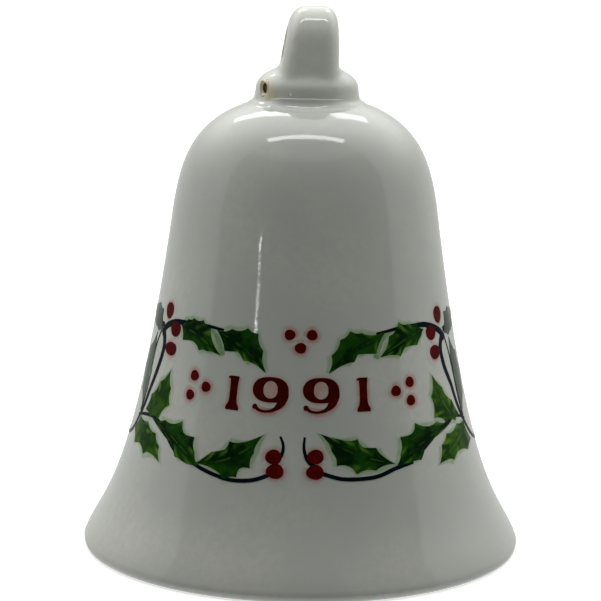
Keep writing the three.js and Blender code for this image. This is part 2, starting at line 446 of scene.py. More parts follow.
@dataclass(frozen=True)
class ColourBleed:
    """Colour that bled from a transfer into the glaze and fades out into it."""

    tint: Colour
    shape: BleedShape
    full_to: float
    strength: float = 0.85
    glaze: PorcelainGlaze = PorcelainGlaze()

    def make(self, name: str) -> bpy.types.Material:
        """Build the material."""
        nodes = Nodes(name)
        over = nodes.add("SeparateXYZ", {0: nodes.place.outputs["UV"]})
        u, v = over.outputs["X"], over.outputs["Y"]
        across = nodes.from_middle(v)
        if self.shape is BleedShape.SPOT:
            values = {0: nodes.place.outputs["UV"], 1: (0.5, 0.5, 0.0)}
            away = nodes.add("VectorMath", values, operation="DISTANCE").outputs["Value"]
            across = nodes.math("MULTIPLY", away, 2.0)
        share = nodes.fade(across, self.full_to, 1.0, (self.strength, 0.0))
        if self.shape is BleedShape.LEAF:
            ends = nodes.math("MULTIPLY", nodes.fade(u, 0.0, 0.07), nodes.fade(u, 1.0, 0.94))
            share = nodes.math("MULTIPLY", share, ends)
        uneven = nodes.fade(nodes.noise(800, 3), 0.3, 0.6, (0.55, 1.0))
        colour = nodes.mix(nodes.math("MULTIPLY", share, uneven), self.glaze.colour(nodes), self.tint)
        nodes.feed("Base Color", colour)
        self.glaze.gloss(nodes)
        return nodes.material


@dataclass(frozen=True)
class Bisque:
    """Bare fired clay: the foot ring where the glaze is wiped off, and the mouths of the bores."""

    clay: Colour = paint(222, 216, 202)
    grime: Colour = paint(198, 189, 168)

    def make(self, name: str) -> bpy.types.Material:
        """Build the material."""
        nodes = Nodes(name)
        worn = nodes.fade(nodes.noise(700, 5, 0.6), 0.45, 0.75)
        nodes.feed("Base Color", nodes.mix(worn, self.clay, self.grime))
        nodes.feed("Roughness", nodes.fade(nodes.noise(1800, 4), 0.2, 0.8, (0.7, 0.95)))
        nodes.relief(nodes.noise(5200, 4), 0.00003)
        return nodes.material


@dataclass(frozen=True)
class PinCement:
    """Cream cement pressed into a bore round a pin, stained by the metal; in dark colours it paints the shade
    in the bore round the pin.
    """

    paste: Colour = paint(240, 234, 206)
    stain: Colour = paint(196, 176, 128)

    def make(self, name: str) -> bpy.types.Material:
        """Build the material."""
        nodes = Nodes(name)
        # Rust patches in the cement; in the dark copy for the bore they make the painted shade uneven.
        rusty = nodes.fade(nodes.noise(1300, 4, 0.6), 0.5, 0.72, (0.0, 0.75))
        nodes.feed("Base Color", nodes.mix(rusty, self.paste, self.stain))
        nodes.feed("Roughness", nodes.fade(nodes.noise(3000, 3), 0.3, 0.7, (0.55, 0.85)))
        nodes.relief(nodes.noise(4200, 4, 0.65), 0.00006)
        return nodes.material


@dataclass(frozen=True)
class DrawnBrass:
    """Drawn wire: die lines along it, tarnish in patches."""

    bright: Colour
    tarnish: Colour
    roughness: float = 0.3

    def make(self, name: str) -> bpy.types.Material:
        """Build the material."""
        nodes = Nodes(name)
        patch = nodes.fade(nodes.noise(420, 5, 0.6), 0.42, 0.66)
        nodes.feed("Base Color", nodes.mix(patch, self.bright, self.tarnish))
        nodes.feed("Roughness", nodes.math("MULTIPLY_ADD", patch, 0.3, self.roughness))
        stretch = nodes.add("Mapping", {"Vector": nodes.place.outputs["Object"], "Scale": (1.0, 1.0, 0.03)})
        lines = nodes.add("TexNoise", {"Vector": stretch.outputs[0], "Scale": 9000.0, "Detail": 2.0})
        nodes.relief(lines.outputs["Fac"], 0.000006)
        nodes.shine(Metallic=1.0)
        return nodes.material


class LeafTone(Enum):
    """How a holly leaf is printed: shadow green, middle green, lit green; the side tone adds painted sheen to
    the print.
    """

    DEEP = (paint(5, 34, 9), paint(24, 70, 14), paint(80, 122, 36))
    FRESH = (paint(24, 62, 12), paint(54, 96, 20), paint(98, 140, 42))
    # Greyer and paler than the others: the print with painted sheen of the glaze, for leaves seen along the
    # surface at the sides.
    SIDE = (paint(22, 50, 28), paint(42, 78, 42), paint(86, 120, 74))


@dataclass(frozen=True)
class LeafInk:
    """Holly green under glaze. The leaf's own map runs base to tip in u and across the midrib in v."""

    tone: LeafTone

    @property
    def gloss(self) -> float:
        """Say how strongly the ink mirrors, which shows where a leaf is seen along the surface."""
        return 0.07 if self.tone is LeafTone.SIDE else 0.02

    def make(self, name: str) -> bpy.types.Material:
        """Build the material."""
        shadow, middle, lit = self.tone.value
        nodes = Nodes(name)
        over = nodes.add("SeparateXYZ", {0: nodes.place.outputs["UV"]})
        u, v = over.outputs["X"], over.outputs["Y"]
        from_rib = nodes.from_middle(v)
        patches = nodes.fade(nodes.noise(300, 3), 0.44, 0.58)
        colour = nodes.mix(nodes.math("MULTIPLY", patches, 0.9), shadow, middle)
        slant = nodes.math("MULTIPLY_ADD", from_rib, -0.2, u)
        comb = nodes.math("PINGPONG", nodes.math("MULTIPLY", slant, 5.0), 0.5)
        folds = nodes.math("MULTIPLY", nodes.fade(comb, 0.12, 0.42), nodes.fade(from_rib, 0.25, 0.7))
        glints = nodes.math("MULTIPLY", folds, nodes.fade(nodes.noise(330, 2), 0.46, 0.62, (0.1, 1.0)))
        colour = nodes.mix(nodes.math("MULTIPLY", glints, 0.85), colour, lit)
        broken = nodes.fade(nodes.noise(600, 2), 0.42, 0.58)
        beside_rib = nodes.fade(from_rib, 0.3, 0.12, (0.0, 0.7))
        colour = nodes.mix(nodes.math("MULTIPLY", beside_rib, broken), colour, shadow)
        on_rib = nodes.fade(from_rib, 0.12, 0.02)
        rib = nodes.math("MULTIPLY", on_rib, nodes.fade(nodes.noise(500, 2), 0.44, 0.56))
        colour = nodes.mix(nodes.math("MULTIPLY", rib, 0.35), colour, lit)
        colour = nodes.mix(nodes.fade(from_rib, 0.88, 1.0, (0.0, 0.5)), colour, middle)
        nodes.feed("Base Color", colour)
        nodes.rough(0.12, 0.2)
        nodes.shine(IOR=1.5, Specular_IOR_Level=self.gloss)
        return nodes.material


@dataclass(frozen=True)
class FiredInk:
    """A plain transfer colour under glaze, with the grain of its screen and a thinner film in places."""

    full: Colour
    thin: Colour

    def make(self, name: str) -> bpy.types.Material:
        """Build the material."""
        nodes = Nodes(name)
        grain = nodes.fade(nodes.noise(900, 4, 0.65), 0.42, 0.7)
        nodes.feed("Base Color", nodes.mix(grain, self.full, self.thin))
        nodes.rough(0.12, 0.2)
        nodes.shine(IOR=1.5, Specular_IOR_Level=0.015)
        return nodes.material


# ---------------------------------------------------------------- sizes from the frame


@dataclass(frozen=True)
class FrameSizes:
    """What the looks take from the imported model, in millimetres."""

    mouth_radius: float
    crown_height: float
    crown_radius: float
    loop_foot: float
    total_height: float
    pin_height: float
    pin_axis: Vector
    ring_height: float
    ring_radius: float
    wire_top: float
    wire_foot: float
    bead_foot: float
    bead_top: float
    bead_radius: float

    @classmethod
    def read(cls, joints: Sequence[dict[str, Any]]) -> "FrameSizes":
        """Read the sizes off the nodes' boxes and the joints.

        Args:
            joints: The frame's joints.

        Returns:
            The sizes.
        """
        hinge = {joint["name"]: joint for joint in joints}
        box = {n: [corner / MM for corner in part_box(n)] for n in frame["nodes"]}
        pin_height = hinge["ring_swing"]["pos_m"][2] / MM
        ring_low, ring_high = box["clapper_ring"][0].z, box["clapper_ring"][1].z
        return cls(
            mouth_radius=box["bell_shell"][1].x,
            crown_height=box["bell_shell"][1].z,
            crown_radius=box["crown_loop"][1].x,
            loop_foot=box["crown_loop"][0].z,
            total_height=box["crown_loop"][1].z,
            pin_height=pin_height,
            pin_axis=Vector(hinge["ring_swing"]["axis"]).normalized(),
            ring_height=(ring_low + ring_high) / 2,
            ring_radius=(ring_high - ring_low) / 2,
            wire_top=box["clapper_wire"][1].z,
            wire_foot=box["clapper_wire"][0].z,
            bead_foot=box["clapper_bead"][0].z,
            bead_top=box["clapper_bead"][1].z,
            bead_radius=box["clapper_bead"][1].x,
        )


# ---------------------------------------------------------------- bell body


@dataclass
class BellBody:
    """The slip-cast body: shoulder, hollow waist, flared mouth and foot ring."""

    sizes: FrameSizes
    wall: float = 2.4
    opening_radius: float = 4.3
    lip_height: float = 1.2
    waist_top: Point = (18.2, 48.6)
    waist_pull: tuple[Point, Point] = ((28.3, 7.2), (23.8, 7.2))
    shoulder_pull: tuple[Point, Point] = ((17.2, 54.2), (15.8, 59.6))
    foot_ring: Point = (29.15, 29.85)
    steps: int = 176

    def __post_init__(self) -> None:
        """Work out the outline that the transfers are laid on."""
        lip = (self.sizes.mouth_radius, self.lip_height)
        crown = (self.sizes.crown_radius, self.sizes.crown_height)
        waist = cubic(lip, *self.waist_pull, self.waist_top, 34)
        shoulder = cubic(self.waist_top, *self.shoulder_pull, crown, 20)
        self.outline = waist + shoulder[1:]

    def inside(self) -> list[Point]:
        """Offset the outline inwards by the wall's thickness, from the crown down to above the lip."""
        line = np.array(self.outline)
        tangent = np.gradient(line, axis=0)
        tangent /= np.linalg.norm(tangent, axis=1)[:, None]
        inner = line + self.wall * np.column_stack([-tangent[:, 1], tangent[:, 0]])
        kept = [(float(r), float(z)) for r, z in inner[1:] if r > self.opening_radius]
        return kept[::-1]

    def lip(self, inner_end: Point) -> list[Point]:
        """Round the lip from the last inside point, under the foot ring, to the outline's first point."""
        r, z = inner_end
        inner_foot, outer_foot = self.foot_ring
        mouth = self.sizes.mouth_radius
        under = cubic((r, z), (r + 0.55, 0.45 * z), (inner_foot - 0.5, 0.02), (inner_foot, 0.0), 8)
        over = cubic((outer_foot, 0.0), (mouth - 0.2, 0.02), (mouth + 0.02, 0.5), self.outline[0], 8)
        return under[1:] + over

    def height_at(self, radius: float) -> float:
        """Find the height of the shoulder's surface at a radius."""
        radii, heights = np.array(self.outline[::-1]).T
        return float(np.interp(radius, radii, heights))

    def wrap(self, across: float, height: float, lift: float) -> Vector:
        """Lay a point of the flat transfer on the body.

        Args:
            across: Degrees to the right of the front.
            height: Height above the mouth's plane.
            lift: Distance outwards from the surface.

        Returns:
            The place on the body.
        """
        radii, heights = np.array(self.outline).T
        radius = float(np.interp(height, heights, radii))
        reach = 0.5
        ahead, behind = (float(np.interp(height + step, heights, radii)) for step in (reach, -reach))
        normal = Vector((1.0, (behind - ahead) / (2 * reach))).normalized()
        out = radius + lift * normal.x
        angle = math.radians(across)
        return Vector((out * math.sin(angle), -out * math.cos(angle), height + lift * normal.y))

    def build(self) -> bpy.types.Object:
        """Turn the body in one closed profile and dress it."""
        inside = self.inside()
        eased = 0.15
        crown_edge = (self.opening_radius, self.sizes.crown_height - eased)
        crown_start = (self.opening_radius + eased, self.sizes.crown_height)
        rounded = cubic(crown_start, crown_edge, crown_edge, crown_edge, 3)
        opening = [(self.opening_radius, inside[0][1] + 0.1)]
        profile = [*self.outline, *rounded, *opening, *inside, *self.lip(inside[-1])]
        shell = turned("bell_body", profile, self.steps)
        self.dress(shell)
        finish_piece(shell, "bell", 50.0)
        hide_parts("bell_shell")
        return shell

    def dress(self, shell: bpy.types.Object) -> None:
        """Glaze the body all over except its foot ring."""
        shell.data.materials.append(PorcelainGlaze().make("porcelain_glaze"))
        shell.data.materials.append(Bisque().make("foot_ring_bisque"))
        foot_top = 0.02
        for face in shell.data.polygons:
            face.material_index = 1 if face.center.z < foot_top else 0


# ---------------------------------------------------------------- crown loop


@dataclass
class CrownLoop:
    """The hollow collar and the pierced lug, cast as one, and the slip that lutes them to the body."""

    sizes: FrameSizes
    lug_thickness: float = 8.5
    lug_taper: float = 0.022
    lug_foot: float = 64.2
    lug_half_depth: float = 6.1
    lug_top_half_depth: float = 4.9
    lean: float = math.radians(4.5)
    yaw: float = math.radians(2.5)
    edge_rounding: float = 2.5
    eye_height: float = 70.4
    eye_radius: float = 2.1
    eye_flare: float = 1.1
    hollow_radius: float = 4.3
    hollow_top: float = 66.25
    pin_hole_radius: float = 1.17
    voxel: float = 0.2
    softening: int = 8
    fillet_softening: int = 90
    fillet_band: tuple[float, float, float, float] = (64.9, 66.2, 67.6, 69.4)
    flare_top: Point = (7.34, 1.22)  # radius, and height over the collar's foot
    flare_reach: float = 9.7

    def collar(self) -> bpy.types.Object:
        """Turn the collar as a solid dome."""
        foot, crown = self.sizes.loop_foot, self.sizes.crown_radius
        skirt = cubic((crown, foot), (crown - 0.7, foot + 0.35), (7.15, foot + 1.0), (7.1, foot + 2.0), 8)
        dome = cubic((7.1, foot + 2.0), (7.0, foot + 3.5), (5.9, foot + 4.1), (4.4, foot + 4.7), 8)
        return turned("collar", [(0.0, foot), *skirt, *dome[1:], (0.0, foot + 4.9)], 96)

    def place_on_lug(self, point: Vector) -> Vector:
        """Taper, lean and turn a point of the upright lug."""
        above = point.z - self.lug_foot
        x = point.x * (1 - self.lug_taper * above) + above * math.tan(self.lean)
        return Matrix.Rotation(self.yaw, 3, "Z") @ Vector((x, point.y, point.z))

    def lug(self) -> bpy.types.Object:
        """Shape the lug from a block: narrow its top, round it to an arch, and ease its edges."""
        height = self.sizes.total_height - self.lug_foot
        deselect()
        bpy.ops.mesh.primitive_cube_add(size=1.0, location=(0, 0, self.lug_foot + height / 2))
        block = fresh("lug")
        block.scale = (self.lug_thickness, 2 * self.lug_half_depth, height)
        bpy.ops.object.transform_apply(location=True, rotation=True, scale=True)
        for vertex in block.data.vertices:
            if vertex.co.z > self.lug_foot + 1:
                vertex.co.y = math.copysign(self.lug_top_half_depth, vertex.co.y)
        half_way = self.lug_foot + 1
        pick_edges(block, lambda a, b: min(a.z, b.z) > half_way and abs(a.y - b.y) < 0.01)
        bpy.ops.mesh.bevel(offset=self.lug_top_half_depth * 0.97, segments=14)
        bpy.ops.object.mode_set(mode="OBJECT")
        modify(block, "BEVEL", width=self.edge_rounding, segments=6, limit_method="ANGLE", angle_limit=0.6)
        modify(block, "REMESH", mode="VOXEL", voxel_size=self.voxel)
        move_points(block, self.place_on_lug)
        return block

    def eye_tool(self) -> bpy.types.Object:
        """Turn the tool for the eye, flared at both ends, and lay it along the lug's thickness."""
        above = self.eye_height - self.lug_foot
        half = self.lug_thickness * (1 - self.lug_taper * above) / 2 + 0.05
        far, wide = half + 2.0, self.eye_radius + self.eye_flare
        low = cubic((wide, -half), (wide - 0.6, -half), (self.eye_radius, self.eye_flare * 0.45 - half),
                    (self.eye_radius, self.eye_flare - half), 8)
        high = [(r, -z) for r, z in reversed(low)]
        tool = turned("eye_tool", [(0.0, -far), (wide, -far), *low, *high, (wide, far), (0.0, far)], 64)
        across = Matrix.Rotation(math.pi / 2, 3, "Y")
        shift = Vector((above * math.tan(self.lean), 0, self.eye_height))
        turn = Matrix.Rotation(self.yaw, 3, "Z")
        move_points(tool, lambda p: turn @ (across @ p + shift))
        return tool

    def hollow_tool(self) -> bpy.types.Object:
        """Turn the tool for the hollow over the body's crown opening, with a rounded roof."""
        r, foot, top = self.hollow_radius, self.sizes.crown_height - 1, self.hollow_top
        roof = cubic((r, self.sizes.pin_height), (r, top - 0.4), (r - 0.9, top), (2.0, top), 8)
        return turned("hollow_tool", [(0.0, foot), (r, foot), *roof, (0.0, top)], 64)

    def pin_tool(self) -> bpy.types.Object:
        """Make the drill for the pin's bores through both walls."""
        r = self.pin_hole_radius
        drill = turned("pin_tool", [(0.0, -12.0), (r, -12.0), (r, 12.0), (0.0, 12.0)], 40)
        lay = Vector((0, 0, 1)).rotation_difference(self.sizes.pin_axis).to_matrix()
        move_points(drill, lambda p: lay @ p + Vector((0, 0, self.sizes.pin_height)))
        return drill

    def build(self) -> bpy.types.Object:
        """Join collar and lug, soften them as a casting, then cut the hollow, the eye and the bores."""
        loop = self.collar()
        carve(loop, self.lug(), "UNION")
        modify(loop, "REMESH", mode="VOXEL", voxel_size=self.voxel)
        modify(loop, "SMOOTH", factor=0.5, iterations=self.softening)
        self.soften_fillet(loop)
        foot = self.sizes.loop_foot
        move_points(loop, lambda p: Vector((p.x, p.y, max(p.z, foot))))
        for tool in (self.hollow_tool(), self.eye_tool(), self.pin_tool()):
            carve(loop, tool)
        loop.name = "crown_loop_cast"
        mouth = Vector((0, 0, self.sizes.pin_height)) - 7.0 * self.sizes.pin_axis
        stained = StainedGlaze(mouth=mouth, run=mouth + Vector((1.3, -0.9, -0.7)))
        loop.data.materials.clear()
        loop.data.materials.append(stained.make("crown_loop_glaze"))
        finish_piece(loop, "bell", 45.0)
        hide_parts("crown_loop")
        return loop

    def soften_fillet(self, loop: bpy.types.Object) -> None:
        """Soften the hollow where the lug grows out of the collar more than the rest."""
        group = loop.vertex_groups.new(name="fillet")
        heights = (0.0, *self.fillet_band, 100.0)
        for vertex in loop.data.vertices:
            weight = float(np.interp(vertex.co.z, heights, (0.0, 0.0, 1.0, 1.0, 0.0, 0.0)))
            group.add([vertex.index], weight, "REPLACE")
        modify(loop, "SMOOTH", factor=0.5, iterations=self.fillet_softening, vertex_group="fillet")

    def luting_slip(self, body: "BellBody") -> bpy.types.Object:
        """Turn the flare of slip that joins the collar to the shoulder, and leave its edges uneven.

        Args:
            body: The bell's body, whose shoulder it runs out on.

        Returns:
            The flare.
        """
        foot = self.sizes.loop_foot
        top_radius, top_height = self.flare_top
        reach = self.flare_reach
        end = (reach, body.height_at(reach) - 0.02)
        top = foot + top_height
        steps = ((-0.4, -0.4), (-0.2, -0.3), (-0.12, -0.05), (-0.03, 0.0), (0.04, -0.05))
        crest = [(top_radius + out, top + up) for out, up in steps]
        pulls = ((top_radius + 0.3, foot + 0.25), (reach - 1.4, end[1] + 0.4))
        sweep = cubic((top_radius + 0.1, top - 0.18), *pulls, end, 18)
        under = [(reach - 0.3, end[1] - 0.5), (top_radius - 0.3, foot - 0.5)]
        slip = turned("luting_slip", [*crest, *sweep, *under, crest[0]], 192)

        def uneven(p: Vector) -> Vector:
            """Leave an open seam over the brushed edge in front, and a ridge where the brush was lifted."""
            angle = math.atan2(p.x, -p.y)
            high = min(max((p.z - foot - 0.2) / 0.7, 0.0), 1.0)
            closed = min(max((abs(angle) - 0.45) / 0.5, 0.0), 1.0)
            wander = 0.05 * math.sin(5 * angle + 2.0) + 0.03 * math.sin(11 * angle)
            ripple = 0.03 * math.sin(8 * angle + 0.4) - 0.3 * closed
            round_to_it = ((angle + 0.58) / 0.12) ** 2
            out_to_it = ((p.xy.length - 8.3) / 0.28) ** 2
            lifted = math.exp(-round_to_it) * math.exp(-out_to_it)
            outward = p.xy.normalized() * ripple * high
            rise = (wander - 0.15 * closed) * high + 0.16 * lifted
            return Vector((p.x + outward.x, p.y + outward.y, p.z + rise))

        move_points(slip, uneven)
        slip.data.materials.append(PorcelainGlaze(body=paint(212, 214, 205)).make("luting_slip_glaze"))
        return finish_piece(slip, "bell", 40.0)


# ---------------------------------------------------------------- clapper


@dataclass
class Clapper:
    """The pin in the collar with its cement, the ring, the wire and the bead that strikes."""

    sizes: FrameSizes
    pin_radius: float = 0.6
    pin_half_length: float = 6.6
    cement_inner_end: float = 5.5
    cement_outer_end: float = 7.12
    cement_radius: float = 1.12
    ring_wire: float = 0.3
    wire_radius: float = 0.35
    eye_radius: float = 1.0
    stop_radius: float = 0.8
    bore_radius: float = 0.6
    ring_gap: float = math.radians(5.0)

    def lay_on_pin(self, piece: bpy.types.Object, flip: bool = False) -> None:
        """Lay a piece that was turned on Z along the pin, at the pin's height."""
        axis = -self.sizes.pin_axis if flip else self.sizes.pin_axis
        lay = Vector((0, 0, 1)).rotation_difference(axis).to_matrix()
        move_points(piece, lambda p: lay @ p + Vector((0, 0, self.sizes.pin_height)))

    def pin(self) -> bpy.types.Object:
        """Turn the pin, cut with side cutters so that its ends are eased."""
        r, half = self.pin_radius, self.pin_half_length
        ease = 0.15
        front_end = [(0.0, -half), (r - ease, -half), (r, ease - half)]
        back_end = [(x, -z) for x, z in reversed(front_end)]
        pin = turned("hanging_pin", [*front_end, *back_end], 40)
        self.lay_on_pin(pin)
        pin.data.materials.append(DrawnBrass(paint(96, 84, 48), paint(30, 30, 18), 0.45).make("pin_brass"))
        finish_piece(pin, "bell")
        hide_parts("clapper_pin")
        return pin

    def cement(self, node: str, front: bool) -> bpy.types.Object:
        """Press a dab of cement round one end of the pin, with painted shade on the wall of its bore.

        Args:
            node: The frame's node that it stands for.
            front: Whether it is at the pin's front end.

        Returns:
            The dab.
        """
        inner, outer = self.pin_radius + 0.03, self.cement_radius
        low, high = self.cement_inner_end, self.cement_outer_end
        pulls = ((outer, high + 0.12), (inner + 0.3, high + 0.1))
        bead = cubic((outer, high - 0.3), *pulls, (inner, high - 0.6), 12)
        dab = turned(node + "_dab", [(inner, low), (outer, low), *bead, (inner, low)], 48)

        def lumpy(p: Vector) -> Vector:
            """Thumb the outer end uneven."""
            if p.z < high - 0.4:
                return p
            angle = math.atan2(p.y, p.x)
            lump = 0.05 * math.sin(2 * angle + 0.4) + 0.035 * math.sin(5 * angle + 1.3)
            return p + Vector((0, 0, lump))

        move_points(dab, lumpy)
        dab.data.materials.append(PinCement().make(node + "_paste"))
        # Painted shade: the faces next to the pin take a dark cement colour, for the shade in the narrow bore
        # round it.
        dab.data.materials.append(PinCement(paint(78, 70, 50), paint(34, 31, 22)).make(node + "_bore_shade"))
        for face in dab.data.polygons:
            face.material_index = 1 if face.center.xy.length < inner + 0.08 else 0
        self.lay_on_pin(dab, flip=front)
        finish_piece(dab, "bell", 60.0)
        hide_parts(node)
        return dab

    def across_pin(self, along_pin: float, up: float) -> Vector:
        """Give a point in the upright plane that holds the pin, on the wire's middle line."""
        return self.sizes.pin_axis * along_pin + Vector((0, 0, up))

    def bend(self, radius: float, centre: float, angles: np.ndarray) -> list[Vector]:
        """Follow a round bend of the wire, whose middle is at the height that centre gives."""
        return [self.across_pin(radius * math.cos(a), centre + radius * math.sin(a)) for a in angles]

    def bent_wire(self, name: str, points: Sequence[Vector], radius: float) -> bpy.types.Object:
        """Sweep round wire along a bent line.

        Args:
            name: Name of the piece.
            points: The wire's middle line, in millimetres.
            radius: The wire's radius.

        Returns:
            The wire as a closed mesh.
        """
        deselect()
        bpy.ops.curve.primitive_nurbs_path_add(location=(0, 0, 0))
        line = fresh(name)
        line.data.splines.clear()
        spline = line.data.splines.new("POLY")
        spline.points.add(len(points) - 1)
        for knot, place in zip(spline.points, points):
            knot.co = (*place, 1.0)
        line.data.bevel_depth = radius
        line.data.bevel_resolution = 4
        line.data.use_fill_caps = True
        bpy.ops.object.convert(target="MESH")
        bpy.ops.object.mode_set(mode="EDIT")
        tidy_surface()
        bpy.ops.object.mode_set(mode="OBJECT")
        return fresh(name)

    def ring(self) -> bpy.types.Object:
        """Bend the ring, its ends meeting with a fine gap on one side."""
        side = Vector((0, 0, 1)).cross(self.sizes.pin_axis)
        middle = self.sizes.ring_radius - self.ring_wire
        points = []
        for angle in np.linspace(self.ring_gap / 2, FULL_TURN - self.ring_gap / 2, 64):
            up = self.sizes.ring_height + middle * math.sin(angle)
            points.append(side * middle * math.cos(angle) + Vector((0, 0, up)))
        ring = self.bent_wire("hanging_ring", points, self.ring_wire)
        ring.data.materials.append(self.clapper_brass().make("ring_brass"))
        finish_piece(ring, "ring", 50.0)
        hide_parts("clapper_ring")
        return ring

    def clapper_brass(self) -> DrawnBrass:
        """Give the finish of the ring and the wire."""
        return DrawnBrass(paint(196, 160, 88), paint(128, 98, 52), 0.25)

    def wire(self) -> bpy.types.Object:
        """Bend the clapper wire: an eye at the top, a straight shank and a small eye that stops the bead."""
        eye_centre = self.sizes.wire_top - self.wire_radius - self.eye_radius
        stop_centre = self.sizes.wire_foot + self.wire_radius + self.stop_radius
        closing = math.radians(318)
        quarter = math.pi / 2
        eye = self.bend(self.eye_radius, eye_centre, np.linspace(closing, 0.0, 40) - quarter)
        top, foot = eye_centre - self.eye_radius, stop_centre + self.stop_radius
        shank = [self.across_pin(0.0, float(height)) for height in np.linspace(top, foot, 12)[1:-1]]
        stop = self.bend(self.stop_radius, stop_centre, quarter - np.linspace(0.0, closing, 32))
        wire = self.bent_wire("striker_wire", [*eye, *shank, *stop], self.wire_radius)
        wire.data.materials.append(self.clapper_brass().make("wire_brass"))
        finish_piece(wire, "striker", 50.0)
        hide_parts("clapper_wire")
        return wire

    def bead(self) -> bpy.types.Object:
        """Turn the bead round its bore, glazed except where it was held for firing."""
        r, bore = self.sizes.bead_radius, self.bore_radius
        centre = (self.sizes.bead_foot + self.sizes.bead_top) / 2
        half = (self.sizes.bead_top - self.sizes.bead_foot) / 2
        start = math.asin(half / r)
        arc = [(r * math.cos(a), r * math.sin(a)) for a in np.linspace(-start, start, 40)]
        lower = cubic((bore, 0.35 - half), (bore, 0.08 - half), (bore + 0.1, -half), (bore + 0.35, -half), 5)
        upper = [(x, -y) for x, y in reversed(lower)]
        outline = [*lower, *arc, *upper, lower[0]]
        bead = turned("striker_bead", [(x, y + centre) for x, y in outline], 72)
        bead.data.materials.append(PorcelainGlaze(body=paint(214, 214, 208)).make("bead_glaze"))
        bead.data.materials.append(Bisque().make("bead_bisque"))
        for face in bead.data.polygons:
            from_middle = Vector(face.center) - Vector((0, 0, centre))
            face.material_index = 1 if from_middle.xy.length < 1.5 else 0
        finish_piece(bead, "bead", 60.0)
        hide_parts("clapper_bead")
        return bead

    def build(self) -> list[bpy.types.Object]:
        """Build every piece of the clapper and what it hangs on."""
        return [
            self.pin(),
            self.cement("pin_cement_front", front=True),
            self.cement("pin_cement_back", front=False),
            self.ring(),
            self.wire(),
            self.bead(),
        ]


# ---------------------------------------------------------------- transfer


@dataclass(frozen=True)
class Leaf:
    """A holly leaf by its base, its tip and the spines of both margins, each (degrees, height)."""

    base: Point
    tip: Point
    upper: tuple[Point, ...]
    lower: tuple[Point, ...]
    tone: LeafTone


@dataclass(frozen=True)
class Berry:
    """A berry by its centre (degrees, height) and its radii across and up, in millimetres."""

    place: Point
    across: float
    up: float


@dataclass(frozen=True)
class Stroke:
    """A brush stroke by its knots (degrees, height) and its half width at both ends, in millimetres."""

    knots: tuple[Point, ...]
    start: float
    end: float


@dataclass(frozen=True)
class Sprig:
    """One half of the wreath: leaves, berries, stems and the pale streak between its upper leaves."""

    side: str
    leaves: tuple[Leaf, ...]
    berries: tuple[Berry, ...]
    stems: tuple[Stroke, ...]
    streak: Stroke


